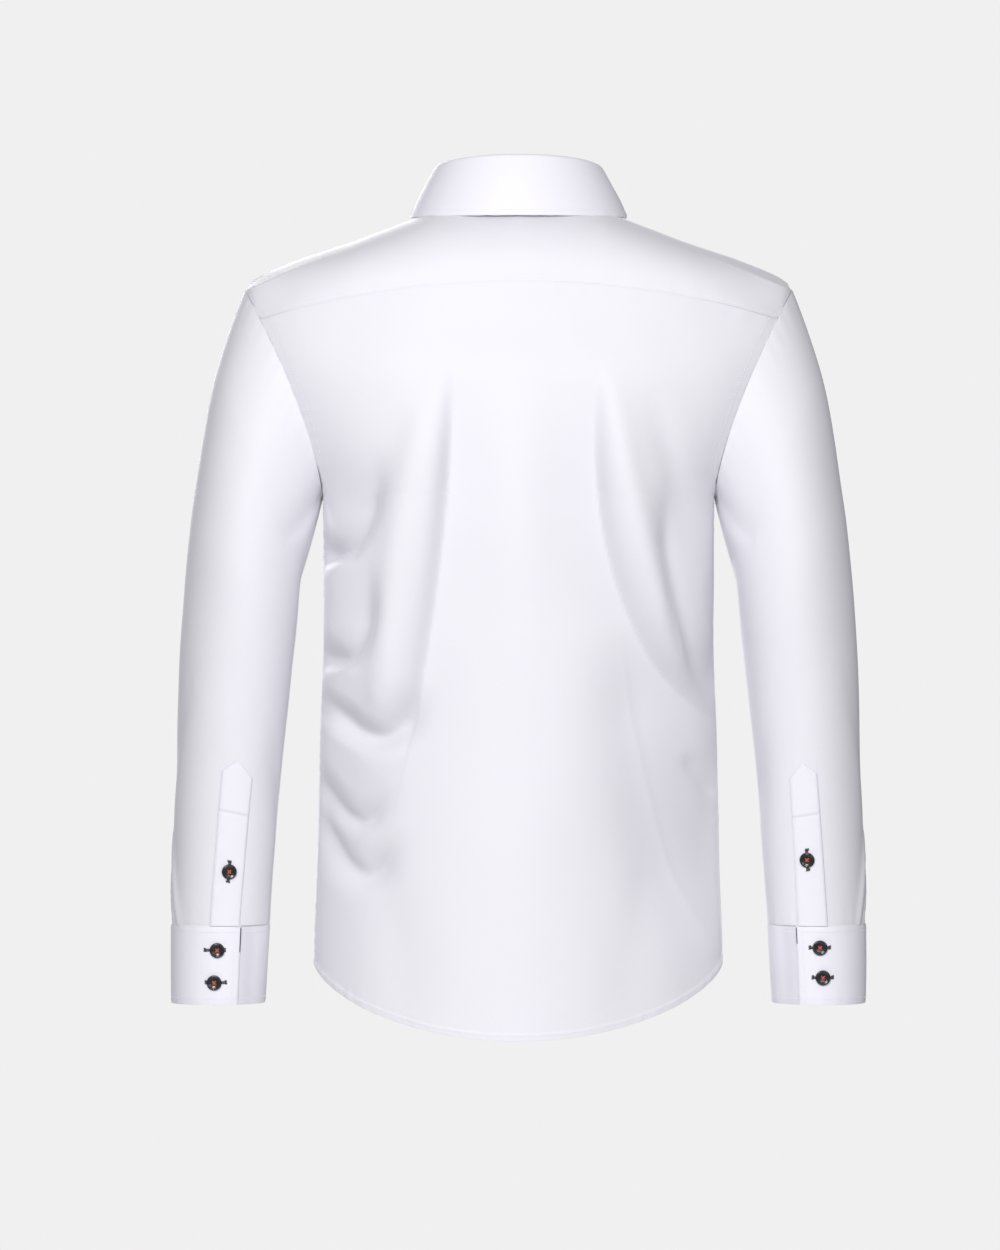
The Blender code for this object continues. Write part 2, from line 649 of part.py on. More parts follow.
def leaf_edge(degrees):
    """The outer edge of the folded-down collar."""
    angle = math.radians(degrees)
    up = math.sin(angle)
    if up >= 0:
        x = LEAF_SIDE_X * math.cos(angle)
        return np.array([x, mix(RIDGE_Y, LEAF_BACK_Y, up), mix(LEAF_SIDE_Z, LEAF_BACK_Z, up)])
    share = degrees / LEAF_END_DEGREES
    x = mix(LEAF_SIDE_X, LEAF_POINT[0], share ** LEAF_SWEEP[0])
    y = mix(RIDGE_Y, LEAF_POINT[1], share ** LEAF_SWEEP[1])
    over = on_shoulder(x, y)[2]
    side_lift = LEAF_SIDE_Z - on_shoulder(LEAF_SIDE_X, RIDGE_Y)[2]
    point_lift = LEAF_POINT[2] - on_shoulder(LEAF_POINT[0], LEAF_POINT[1])[2]
    return np.array([x, y, over + mix(side_lift, point_lift, share ** LEAF_SWEEP[2])])


def stand_grid():
    grid = []
    for i in range(STAND_ROWS + 1):
        row = []
        for j in range(COLLAR_COLUMNS + 1):
            degrees = mix(STAND_END_DEGREES, 180 - STAND_END_DEGREES, j / COLLAR_COLUMNS)
            foot = neck(math.radians(degrees))
            inward = np.array([-foot[0], -foot[1], 0.0]) / np.hypot(foot[0], foot[1])
            lift = STAND_LIFT + STAND_FRONT_LIFT * max(-math.sin(math.radians(degrees)), 0)
            foot = foot + inward * STAND_INSET + np.array([0, 0, lift])
            top = stand_top(degrees)
            under = ease((degrees - STAND_SINK_FROM) / STAND_SINK_OVER) * (BAND_CLOTH + STAND_CLEAR)
            row.append(mix(foot, top, i / STAND_ROWS) + inward * under)
        grid.append(row)
    return np.array(grid)


def leaf_grid():
    columns = []
    for j in range(COLLAR_COLUMNS + 1):
        degrees = mix(LEAF_END_DEGREES, 180 - LEAF_END_DEGREES, j / COLLAR_COLUMNS)
        mirror = degrees > 90
        own = 180 - degrees if mirror else degrees
        top, edge = stand_top(own), leaf_edge(own)
        out = unit(np.array([edge[0] - top[0], edge[1] - top[1], 0.0]))
        along = unit(stand_top(own + 1) - stand_top(own - 1))
        up = unit(np.array([0.0, 0.0, 1.0]) - along * along[2])
        column = [top + out * aside * MM + up * above * MM for aside, above in LEAF_ROLL]
        start = column[-1]
        for k in range(1, LEAF_ROWS + 1):
            share = k / LEAF_ROWS
            bow = math.sin(math.pi * share) * (LEAF_BOW + LEAF_FRONT_BOW * max(-math.sin(math.radians(own)), 0))
            column.append(mix(start, edge, share) + out * bow)
        if mirror:
            column = [point * np.array([-1.0, 1.0, 1.0]) for point in column]
        columns.append(column)
    return np.array(columns).transpose(1, 0, 2)[:, ::-1]


# ---- buttons -----------------------------------------------------------------
Turned = namedtuple("Turned", "r h")
BUTTON_PROFILE = [Turned(0, 0), Turned(0.93, 0), Turned(1, 0.5), Turned(0.86, 1), Turned(0.68, 0.8),
                  Turned(0, 0.8)]
BUTTON_SIDES = 12


def button(name, seat, outward, radius=BUTTON_RADIUS):
    """A turned button whose flat back lies one seam gap above its seat."""
    outward = unit(outward)
    side = unit(np.cross(outward, np.array([0.0, 0.0, 1.0])))
    up = np.cross(side, outward)
    foot = seat + outward * SEAM_GAP
    vertices, faces = [foot], []
    rings = BUTTON_PROFILE[1:-1]
    for ring in rings:
        for k in range(BUTTON_SIDES):
            angle = 2 * math.pi * k / BUTTON_SIDES
            spread = side * math.cos(angle) + up * math.sin(angle)
            vertices.append(foot + spread * radius * ring.r + outward * BUTTON_THICK * ring.h)
    vertices.append(foot + outward * BUTTON_THICK * BUTTON_PROFILE[-1].h)
    for k in range(BUTTON_SIDES):
        after = (k + 1) % BUTTON_SIDES
        faces.append((0, 1 + after, 1 + k))
        for r in range(len(rings) - 1):
            a, b = 1 + r * BUTTON_SIDES + k, 1 + r * BUTTON_SIDES + after
            faces.append((a, b, b + BUTTON_SIDES, a + BUTTON_SIDES))
        top = 1 + (len(rings) - 1) * BUTTON_SIDES
        faces.append((top + k, top + after, len(vertices) - 1))
    return mesh_object(name, vertices, faces, BLACK, BLACK_ROUGHNESS)


# ---- the shirt, piece by piece ----------------------------------------------
FRONT_STRIP = (-15 * MM, -4 * MM, 7 * MM, 19 * MM)   # columns of the placket, which is 34 mm wide
STRIP_SINK = CLOTH + 1.6 * SEAM_GAP    # how far the right front goes under the left
PLACKET_LIFT = 1.5 * SEAM_GAP
PLACKET_TOP = 0.8                      # share of the last row that the placket reaches up


def with_strip(grid):
    """Swap a front's centre column for the columns under the placket."""
    rows = []
    for row in grid:
        strip = []
        for x in FRONT_STRIP:
            strip.append([x, np.interp(abs(x), row[:, 0], row[:, 1]), np.interp(abs(x), row[:, 0], row[:, 2])])
        rows.append(np.concatenate([np.array(strip), row[1:]]))
    for k, x in enumerate(FRONT_STRIP):
        rows[-1][k] = neck(-math.acos(abs(x) / NECK_HALF)) * np.array([math.copysign(1, x), 1, 1])
    return np.array(rows)


def armhole_edge(grid, inner, column, first_row):
    """Cut a panel's side along the armhole seam, with the rim turned to the armhole's middle."""
    flip = np.array([1.0 if grid[-1, column, 0] > 0 else -1.0, 1.0, 1.0])
    for i in range(first_row, grid.shape[0]):
        grid[i, column] -= armhole_axis() * flip * SEAM_GAP / 2
        inner[i, column] = grid[i, column] + cut_direction(grid[i, column] * flip) * flip * CLOTH


def side_edge(grid, inner, column):
    """Below the armpit a panel's side rim faces straight along the side seam."""
    for i in range(BODY_ROWS_LOW):
        inner[i, column] = grid[i, column] - np.array([math.copysign(CLOTH, grid[i, column, 0]), 0.0, 0.0])


def make_back():
    grid = trimmed(back_grid(), rows=(0, 1), columns=(0, 0))
    low = trimmed(grid, rows=(0, 0), columns=(1, 1))
    grid[:BODY_ROWS_LOW] = low[:BODY_ROWS_LOW]
    inner = grid - grid_normals(grid, False) * CLOTH
    side_edge(grid, inner, 0)
    side_edge(grid, inner, -1)
    armhole_edge(grid, inner, 0, BODY_ROWS_LOW)
    armhole_edge(grid, inner, -1, BODY_ROWS_LOW)
    wall("back", grid, CLOTH, inner=inner)


def front_outer(left):
    """The finished outer grid of one front, its strip folded under on the wearer's right."""
    plain = front_grid()
    if not left:
        plain = folded(mirrored(plain), -1)
        plain = mirrored(plain)
    else:
        plain = folded(plain, -1)
    grid = with_strip(plain)
    if not left:
        push = grid_normals(grid, False) * STRIP_SINK
        grid[:, :len(FRONT_STRIP)] -= push[:, :len(FRONT_STRIP)]
    return grid


def make_front(left):
    grid = trimmed(front_outer(left), rows=(0, 1), columns=(0, 0))
    low = trimmed(grid, rows=(0, 0), columns=(0, 1))
    grid[:BODY_ROWS_LOW] = low[:BODY_ROWS_LOW]
    inner = grid - grid_normals(grid, False) * CLOTH
    side_edge(grid, inner, -1)
    inner[-1, -SEAM_COLUMNS - 1:] = seam_inside(grid[-1, -SEAM_COLUMNS - 1:])
    armhole_edge(grid, inner, -1, BODY_ROWS_LOW)
    if not left:
        grid, inner = mirrored(grid), mirrored(inner)
    wall("front_left" if left else "front_right", grid, CLOTH, inner=inner)


def make_yoke():
    grid = trimmed(yoke_grid(), rows=(1, 1), columns=(0, 0))
    inner = grid - grid_normals(grid, False) * CLOTH
    for columns in (slice(0, SEAM_COLUMNS + 1), slice(-SEAM_COLUMNS - 1, None)):
        inner[-1, columns] = seam_inside(grid[-1, columns])
    armhole_edge(grid, inner, 0, 0)
    armhole_edge(grid, inner, -1, 0)
    wall("yoke", grid, CLOTH, inner=inner)


def make_placket():
    under = front_outer(True)[:, :len(FRONT_STRIP)]
    normals = grid_normals(front_outer(True), False)[:, :len(FRONT_STRIP)]
    under[-1] = mix(under[-2], under[-1], PLACKET_TOP)
    face = under + normals * (PLACKET_LIFT + BAND_CLOTH)
    wall("placket", face, BAND_CLOTH, inner=under + normals * PLACKET_LIFT)
    return face, normals


def both_sides(name, outer, thick, closed=False, inner=None):
    wall(name + "_left", outer, thick, closed, inner)
    wall(name + "_right", mirrored(outer), thick, closed, mirrored(inner) if inner is not None else None)


GAUNTLET_BUTTONS = {"left": 0.634, "right": 0.555}    # share down the gauntlet
CUFF_BUTTONS = {"left": ((0.305, 90), (0.713, 87.6)), "right": ((0.274, 90), (0.65, 87.6))}   # share, degrees
SEAT_STEP = (4, 0.1)                         # degrees and share between the points that give a button's facing


def make_sleeves():
    outer, inner = sleeve_wall(sleeve_grid())
    both_sides("sleeve", outer, CLOTH, True, inner)
    outer, inner = gauntlet_grids()
    both_sides("gauntlet", outer, BAND_CLOTH, False, inner)
    both_sides("cuff", cuff_grid(), BAND_CLOTH)
    for side in ("left", "right"):
        make_sleeve_buttons(side, outer)


def backward(direction):
    """The direction or its opposite, whichever points behind the shirt."""
    return direction if direction[1] > 0 else -direction


def make_sleeve_buttons(side, gauntlet):
    """One button on the gauntlet and two on the cuff."""
    flip = np.array([1.0 if side == "left" else -1.0, 1.0, 1.0])
    middle = gauntlet[:, GAUNTLET_COLUMNS // 2]
    row = GAUNTLET_ROWS * (1 - GAUNTLET_BUTTONS[side])
    seat = mix(middle[int(row)], middle[int(row) + 1], row - int(row))
    out = grid_normals(gauntlet, False)[int(row), GAUNTLET_COLUMNS // 2]
    button(f"button_gauntlet_{side}", seat * flip, backward(out) * flip)
    turn, down = SEAT_STEP
    for number, (share, degrees) in enumerate(CUFF_BUTTONS[side], 1):
        aside = cuff_point(share, degrees - turn, 0) - cuff_point(share, degrees + turn, 0)
        along = cuff_point(share + down, degrees, 0) - cuff_point(share - down, degrees, 0)
        out = backward(np.cross(along, aside))
        button(f"button_cuff_{number}_{side}", cuff_point(share, degrees, 0) * flip, out * flip)


FRONT_BUTTONS, FIRST_BUTTON_ROW, LAST_BUTTON_ROW = 6, 5.2, 24.0
STAND_END_COLUMNS = 6           # the stand's columns among which its button sits


def make_collar():
    stand = stand_grid()
    wall("collar_stand", stand, BAND_CLOTH)
    leaf = leaf_grid()
    wall("collar_leaf", leaf, COLLAR_CLOTH)
    return stand


def make_front_buttons(face, normals, stand):
    """Six buttons down the placket and one on the collar stand."""
    share = -FRONT_STRIP[1] / (FRONT_STRIP[2] - FRONT_STRIP[1])
    for number in range(FRONT_BUTTONS):
        row = mix(LAST_BUTTON_ROW, FIRST_BUTTON_ROW, number / (FRONT_BUTTONS - 1))
        k, part = int(row), row - int(row)
        low, high = mix(face[k, 1], face[k, 2], share), mix(face[k + 1, 1], face[k + 1, 2], share)
        button(f"button_front_{number + 2}", mix(low, high, part), normals[k, 1])
    middle = int(np.argmin(np.abs(stand[1, :STAND_END_COLUMNS, 0])))
    button("button_front_1", mix(stand[1, middle], stand[2, middle], 0.5), grid_normals(stand, False)[1, middle])


def main():
    for old in list(bpy.data.objects):
        bpy.data.objects.remove(old, do_unlink=True)
    make_back()
    make_front(True)
    make_front(False)
    make_yoke()
    face, normals = make_placket()
    make_sleeves()
    stand = make_collar()
    make_front_buttons(face, normals, stand)


main()
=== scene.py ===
import bpy
import math
import numpy as np
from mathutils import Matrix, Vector


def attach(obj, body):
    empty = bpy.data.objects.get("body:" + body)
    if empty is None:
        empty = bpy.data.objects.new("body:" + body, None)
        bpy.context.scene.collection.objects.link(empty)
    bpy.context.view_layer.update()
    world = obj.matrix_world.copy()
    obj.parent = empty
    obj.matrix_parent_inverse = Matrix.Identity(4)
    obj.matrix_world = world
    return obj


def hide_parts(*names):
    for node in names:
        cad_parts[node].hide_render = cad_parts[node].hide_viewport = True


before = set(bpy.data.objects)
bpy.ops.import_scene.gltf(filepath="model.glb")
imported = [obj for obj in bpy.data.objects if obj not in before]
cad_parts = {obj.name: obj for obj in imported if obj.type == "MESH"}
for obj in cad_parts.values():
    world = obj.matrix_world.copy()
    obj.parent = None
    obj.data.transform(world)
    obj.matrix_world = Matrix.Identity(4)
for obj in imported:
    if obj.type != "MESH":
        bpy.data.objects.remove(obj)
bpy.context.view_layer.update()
print("frame loaded")

mm = 0.001

# the body's form, in mm: rings from the hem up, the shoulder ridge, the sleeve's two edges and its depth
bodyForm = dict(
    z=(-730, -640, -560, -460, -360, -244, -150, -90, -55),
    half=(177, 177, 174.4, 172.6, 169.4, 170, 231, 238, 240),
    back=(112, 113, 113, 112, 113, 118, 115, 103, 96),
    front=(114, 115, 115, 115, 118, 124, 112, 96, 84),
    square=(2.4, 2.4, 2.4, 2.4, 2.4, 2.4, 2.3, 2.2, 2.2))
ridgeForm = dict(
    x=(0, 40, 72, 94, 120, 148, 178, 203, 225, 238, 246),
    z=(17, 13, 6, -3, -12.9, -23.6, -34.4, -44.8, -54.8, -63.5, -72))
sleeveOuter = dict(
    z=(-64, -90, -125, -160, -194, -229, -264, -299, -333, -403, -507, -615),
    x=(238, 248.4, 259.7, 268.4, 274.5, 279.7, 284.9, 288.6, 291.6, 296, 299.6, 302.3))
sleeveInner = dict(
    z=(-244, -264, -281, -298, -333, -368, -438, -507, -577, -615),
    x=(170, 174.2, 179, 184, 190, 194.4, 202, 209.2, 214.6, 217.3))
sleeveForm = dict(
    share=(0, 0.12, 0.3, 0.55, 0.8, 1),
    depth=(65, 69, 70, 62, 53, 46),
    forward=(3, 3, 2, -3, -9, -13))
cuffForm = dict(
    z=(-684, -650, -615),
    middle=(261.9, 261.0, 259.8),
    half=(41.2, 42.4, 43.4),
    depth=(44.6, 45.6, 46.6),
    forward=(-14.2, -13.6, -13.0))

cut = dict(
    armpit=(170 * mm, -244 * mm), shoulder=(238 * mm, -64 * mm), armholeReach=(68 * mm, 62 * mm), armholeLean=1.5,
    yokeBackAngle=math.radians(44.6), yokeFrontAngle=math.radians(-30), yokeSeamZ=-60 * mm, yokeSeamDrop=30.5 * mm,
    yokeSeamHalf=223 * mm, chestBaseZ=-150 * mm, ridgeY=-4 * mm, round=(2.2, 1.4), neckHalf=72 * mm,
    neckReach=(66 * mm, 78 * mm), neckSeamAngle=math.radians(-17), hemZ=-709.6 * mm, hemSideZ=-648 * mm,
    hemCurve=(2.0, 0.645), frontShorter=22 * mm, sleeveEndZ=-615 * mm, cuffEndZ=-684 * mm)

# each soft fold: a curve (start, pull, end in mm of x and z), width at both ends, depth; below 0 is a ridge
backFolds = [
    (86, -180, 118, -330, 112, -440, 12, 13, -4), (-80, -156, -108, -320, -146, -400, 12, 13, -4),
    (-116, -168, -138, -230, -152, -300, 13, 15, 4), (-2, -150, -2, -270, -2, -400, 26, 30, -3),
    (166, -296, 158, -300, 146, -308, 7, 8, -3), (158, -392, 150, -396, 140, -400, 7, 8, -3)]
# each crease: the same curve with its steep side on its left, how fast both ends fall off there, how wide its
# flat side is, its depth, and how much of that is sunk: below 1, the rest stands up beside it as a soft ridge
backCreases = [
    (57, -118, 56.5, -307, 118, -560, 5, 20, 46, 17, 0.35), (117, -196, 134.5, -331, 190, -280, 12, 15, 10, 15, 1),
    (126, -294, 128, -423, 190, -368, 12, 15, 10, 14, 1), (88, -400, 109, -500, 188, -396, 13, 16, 13, 15, 1),
    (110, -482, 143, -580, 196, -440, 10, 12, 10, 9, 1), (104, -522, 141, -634, 192, -470, 12, 13, 14, 10, 1),
    (-196, -448, -46, -378, -69, -112, 24, 6, 46, 19, 0.45), (-176, -640, -108, -500, -92, -350, 40, 24, 40, 14, 1),
    (-184, -436, -125.5, -342, -127, -222, 16, 10, 12, 13, 1), (-192, -512, -160, -494, -146, -462, 8, 6, 6, 4, 1)]
frontFolds = [
    (95, -150, 104, -300, 136, -470, 10, 20, 9), (172, -246, 150, -344, 116, -236, 12, 13, 8),
    (170, -330, 146, -410, 108, -420, 9, 12, 6), (170, -450, 150, -520, 120, -560, 9, 12, 5),
    (-92, -146, -106, -310, -140, -500, 10, 20, 9), (-172, -246, -146, -330, -120, -232, 12, 12, 8),
    (-170, -356, -150, -430, -112, -446, 9, 12, 6)]


# the lower back hangs rounder than the ring of the solid, more so on the wearer's right
backRound = dict(left=1.9, right=1.6, start=-370 * mm, over=190 * mm)
tailFolds = [(118, -560, 104, -640, 96, -706, 16, 26, 2.2), (-112, -560, -98, -640, -92, -706, 16, 26, 2.2)]


def curveThrough(xs, ys, scale=mm, inScale=mm):
    # a smooth curve through a table's column, flat where the column turns
    xs, ys = np.array(xs, float), np.array(ys, float)
    step = np.diff(ys) / np.diff(xs)
    slope = np.zeros(len(xs))
    slope[0], slope[-1] = step[0], step[-1]
    product, total = step[:-1] * step[1:], step[:-1] + step[1:]
    slope[1:-1] = np.where(product > 0, 2 * product / np.where(total == 0, 1, total), 0)

    def read(at):
        at = np.clip(np.asarray(at, float) / inScale, xs[0], xs[-1])
        i = np.clip(np.searchsorted(xs, at) - 1, 0, len(xs) - 2)
        wide = xs[i + 1] - xs[i]
        t = (at - xs[i]) / wide
        rise = (2 * t ** 3 - 3 * t ** 2 + 1) * ys[i] + (3 * t ** 2 - 2 * t ** 3) * ys[i + 1]
        rise = rise + wide * ((t ** 3 - 2 * t ** 2 + t) * slope[i] + (t ** 3 - t ** 2) * slope[i + 1])
        return rise * scale
    return read


bodyHalf = curveThrough(bodyForm["z"], bodyForm["half"])
bodyDeep = {1: curveThrough(bodyForm["z"], bodyForm["back"]), -1: curveThrough(bodyForm["z"], bodyForm["front"])}
bodySquare = curveThrough(bodyForm["z"], bodyForm["square"], 1)
ridgeZ = curveThrough(ridgeForm["x"], ridgeForm["z"])
outerX = curveThrough(sleeveOuter["z"][::-1], sleeveOuter["x"][::-1])
innerX = curveThrough(sleeveInner["z"][::-1], sleeveInner["x"][::-1])
limbDepth = curveThrough(sleeveForm["share"], sleeveForm["depth"], mm, 1)
limbForward = curveThrough(sleeveForm["share"], sleeveForm["forward"], mm, 1)
cuffCurve = {key: curveThrough(cuffForm["z"], cuffForm[key]) for key in ("middle", "half", "depth", "forward")}


def mix(a, b, t):
    return a + (b - a) * t


def ease(t):
    t = np.clip(t, 0.0, 1.0)
    return t * t * (3 - 2 * t)


def points(x, y, z):
    x, y, z = np.broadcast_arrays(np.asarray(x, float), np.asarray(y, float), np.asarray(z, float))
    return np.stack([x, y, z], axis=-1)


def unit(v):
    return v / np.maximum(np.linalg.norm(v, axis=-1, keepdims=True), 1e-12)


def armholePoint(angle):
    rise = (1 + np.cos(angle)) / 2
    x = mix(cut["armpit"][0], cut["shoulder"][0], rise ** cut["armholeLean"])
    reach = np.where(np.sin(angle) > 0, cut["armholeReach"][0], cut["armholeReach"][1])
    return points(x, reach * np.sin(angle), mix(cut["armpit"][1], cut["shoulder"][1], rise))


def armholeAt(z, side):
    rise = np.clip((z - cut["armpit"][1]) / (cut["shoulder"][1] - cut["armpit"][1]), 0, 1)
    return armholePoint(side * np.arccos(2 * rise - 1))


def edgeTurn(z, side):
    share = np.clip(np.abs(armholeAt(z, side)[..., 1]) / bodyDeep[side](z), 0, 0.98)
    return np.where(z <= cut["armpit"][1], 0, np.arcsin(share ** (bodySquare(z) / 2)))


def ringHalf(z, side):
    wide = armholeAt(z, side)[..., 0] / np.cos(edgeTurn(z, side)) ** (2 / bodySquare(z))
    return np.where(z <= cut["armpit"][1], bodyHalf(z), wide)


def ringDepth(x, z, side):
    share = np.clip(np.abs(x) / ringHalf(z, side), 0, 1)
    return side * bodyDeep[side](z) * (1 - share ** bodySquare(z)) ** (1 / bodySquare(z))


def ringPoint(turn, z, side):
    power = 2 / bodySquare(z)
    angle = mix(edgeTurn(z, side), math.pi / 2, turn)
    x = ringHalf(z, side) * np.maximum(np.cos(angle), 0) ** power
    return points(x, side * bodyDeep[side](z) * np.sin(angle) ** power, z)


def shoulderFrame(x, side):
    x = np.abs(x)
    beyond = np.clip((x - cut["armpit"][0]) / (cut["shoulder"][0] - cut["armpit"][0]), 0, 1)
    onArmhole = mix(cut["armpit"][1], cut["shoulder"][1], beyond ** (1 / cut["armholeLean"]))
    if side > 0:
        base = np.maximum(cut["yokeSeamZ"] - cut["yokeSeamDrop"] * (x / cut["yokeSeamHalf"]) ** 2, onArmhole)
    else:
        base = np.maximum(cut["chestBaseZ"], onArmhole)
    return base, cut["round"][0 if side > 0 else 1], ringDepth(x, base, side), np.maximum(ridgeZ(x), base + 0.1 * mm)


def shoulderPoint(x, turn, side):
    base, power, foot, ridge = shoulderFrame(x, side)
    angle = turn * math.pi / 2
    y = mix(cut["ridgeY"], foot, np.maximum(np.cos(angle), 0) ** (2 / power))
    return points(x, y, mix(base, ridge, np.maximum(np.sin(angle), 0) ** (2 / power)))


def shoulderTurn(x, y, side):
    base, power, foot, ridge = shoulderFrame(x, side)
    share = np.clip((y - cut["ridgeY"]) / (foot - cut["ridgeY"]), 0, 1)
    return np.arccos(share ** (power / 2)) / (math.pi / 2)


def bodyDepth(x, z, side):
    base, power, foot, ridge = shoulderFrame(x, side)
    rise = np.clip((z - base) / (ridge - base), 0, 1)
    return np.where(z <= base, ringDepth(x, z, side), mix(cut["ridgeY"], foot, (1 - rise ** power) ** (1 / power)))


def onShoulder(x, y):
    behind = shoulderPoint(x, shoulderTurn(x, y, 1), 1)
    before = shoulderPoint(x, shoulderTurn(x, y, -1), -1)
    return np.where(np.asarray(y)[..., None] > cut["ridgeY"], behind, before)


def neckPoint(angle):
    reach = np.where(np.sin(angle) > 0, cut["neckReach"][0], cut["neckReach"][1])
    return onShoulder(cut["neckHalf"] * np.cos(angle), reach * np.sin(angle))


def frontSeam(share):
    start, end = neckPoint(cut["neckSeamAngle"]), armholePoint(cut["yokeFrontAngle"])
    spot = onShoulder(mix(start[0], end[0], share), mix(start[1], end[1], share))
    return np.where(np.asarray(share)[..., None] < 1, spot, end)


def hemHeight(x, side):
    share = np.clip(np.abs(x) / bodyHalf(cut["hemSideZ"]), 0, 1)
    low = cut["hemZ"] + (0 if side > 0 else cut["frontShorter"])
    return mix(cut["hemSideZ"], low, (1 - share ** cut["hemCurve"][0]) ** cut["hemCurve"][1])


def foldPush(x, z, folds, samples=60):
    # how far the folds move each place inwards
    push = np.zeros(np.shape(x))
    t = np.linspace(0, 1, samples)
    for x0, z0, x1, z1, x2, z2, wide0, wide1, depth in folds:
        px = (1 - t) ** 2 * x0 + 2 * t * (1 - t) * x1 + t * t * x2
        pz = (1 - t) ** 2 * z0 + 2 * t * (1 - t) * z1 + t * t * z2
        apart = np.hypot(px - x[..., None] / mm, pz - z[..., None] / mm)
        i = np.argmin(apart, axis=-1)
        near = np.take_along_axis(apart, i[..., None], axis=-1)[..., 0]
        along = np.sin(math.pi * mix(0.06, 0.94, t[i])) ** 0.7
        push += depth * along * np.exp(-(near / mix(wide0, wide1, t[i])) ** 2)
    return push * mm


def creasePush(x, z, creases, samples=120, rounding=1.4):
    # how far the creases move each place inwards, and how much shade is painted along their lines; fully sunk ones are
    # softened
    push, shade = np.zeros(np.shape(x)), np.zeros(np.shape(x))
    steps = np.linspace(0, 1, samples)
    x, z = x / mm, z / mm
    for x0, z0, x1, z1, x2, z2, steep0, steep1, flat, depth, sunk in creases:
        def along(t):
            return ((1 - t) ** 2 * x0 + 2 * t * (1 - t) * x1 + t * t * x2,
                    (1 - t) ** 2 * z0 + 2 * t * (1 - t) * z1 + t * t * z2,
                    2 * (1 - t) * (x1 - x0) + 2 * t * (x2 - x1), 2 * (1 - t) * (z1 - z0) + 2 * t * (z2 - z1))
        px, pz = along(steps)[:2]
        t = steps[np.argmin(np.hypot(px - x[..., None], pz - z[..., None]), axis=-1)]
        for _ in range(2):
            px, pz, tx, tz = along(t)
            t = np.clip(t + (tx * (x - px) + tz * (z - pz)) / (tx * tx + tz * tz), 0, 1)
        px, pz, tx, tz = along(t)
        size = np.hypot(tx, tz)
        aside, ahead = (tx * (z - pz) - tz * (x - px)) / size, (tx * (x - px) + tz * (z - pz)) / size
        steep = mix(steep0, steep1, t)
        fall = np.exp(-(np.hypot(aside, rounding) - rounding) / steep)
        ridge = np.exp(-(aside / (3 * steep + 14)) ** 2)
        profile = np.where(aside > 0, fall - (1 - sunk) * ridge, sunk * np.exp(-(aside / flat) ** 2))
        strength = ease(np.minimum(t, 1 - t) / 0.3) * np.exp(-(ahead / 6) ** 2)
        part = depth * strength * profile
        for _ in range(10 if sunk == 1 else 1):
            part[:, 1:-1] = (part[:, :-2] + 2 * part[:, 1:-1] + part[:, 2:]) / 4
        push += part
        # painted shade: strong on the crease's steep side, falling off fast on its flat side
        near = np.where(aside > 0, aside / (1.25 * steep), aside / (3.2 if sunk == 1 else 1.6))
        shade = np.maximum(shade, depth / 17 * strength * np.exp(-near ** 2))
    return push * mm, shade


def ringNormal(grid):
    # which way the body's ring faces at each place
    x, y, z = np.moveaxis(grid, -1, 0)
    wide, deep = ringHalf(z, 1), np.where(y > 0, bodyDeep[1](z), bodyDeep[-1](z))
    power = bodySquare(z) - 1
    return unit(points(np.sign(x) * np.abs(x / wide) ** power / wide, np.sign(y) * np.abs(y / deep) ** power / deep, 0))


def gridNormals(grid, closed=False):
    if closed:
        across = np.roll(grid, -1, axis=1) - np.roll(grid, 1, axis=1)
    else:
        across = np.gradient(grid, axis=1)
    return unit(np.cross(across, np.gradient(grid, axis=0)))


def folded(grid, folds, creases=()):
    push = foldPush(grid[..., 0], grid[..., 2], folds) + creasePush(grid[..., 0], grid[..., 2], creases)[0]
    push = np.where(push > 0, push, push * (1 - ease((np.abs(grid[..., 0]) - 118 * mm) / (40 * mm))))
    nearSide = 1 - np.exp(-(grid[..., 1] / (16 * mm)) ** 2)
    return grid - ringNormal(grid) * (push * nearSide)[..., None]


def flipped(grid):
    return (grid * np.array([-1.0, 1.0, 1.0]))[:, ::-1]


print("form ready")


def cutDirection(spots):
    middle = (armholePoint(0.0) + armholePoint(math.pi)) / 2
    return unit(middle - spots)


# how finely each panel is drawn
grain = dict(bodyColumns=216, rowsLow=136, rowsHigh=52, frontColumns=77, yokeRows=40, yokeSeam=40, yokeNeck=24,
             sleeveRows=120, sleeveColumns=144)


hemForm = dict(rows=(0, 0.7, 2.0, 3.4, 4.6, 5.4, 5.9, 6.5, 8.0), reach=465.0, width=5.6 * mm, high=0.5 * mm)


def riseFromHem(count):
    near = np.array(hemForm["rows"]) / hemForm["reach"]
    return np.concatenate([near, np.linspace(near[-1], 1, count + 2 - len(near))[1:]])[:, None]


def hemRaised(grid):
    # the hem is turned up twice, so its band stands a little proud of the panel
    away = np.cumsum(np.linalg.norm(np.diff(grid, axis=0, prepend=grid[:1]), axis=-1), axis=0)
    band = 1 - ease((away - hemForm["width"]) / (0.7 * mm))
    edge = 0.55 + 0.45 * ease(away / (1.2 * mm))
    return grid + gridNormals(grid) * (hemForm["high"] * band * edge)[..., None]


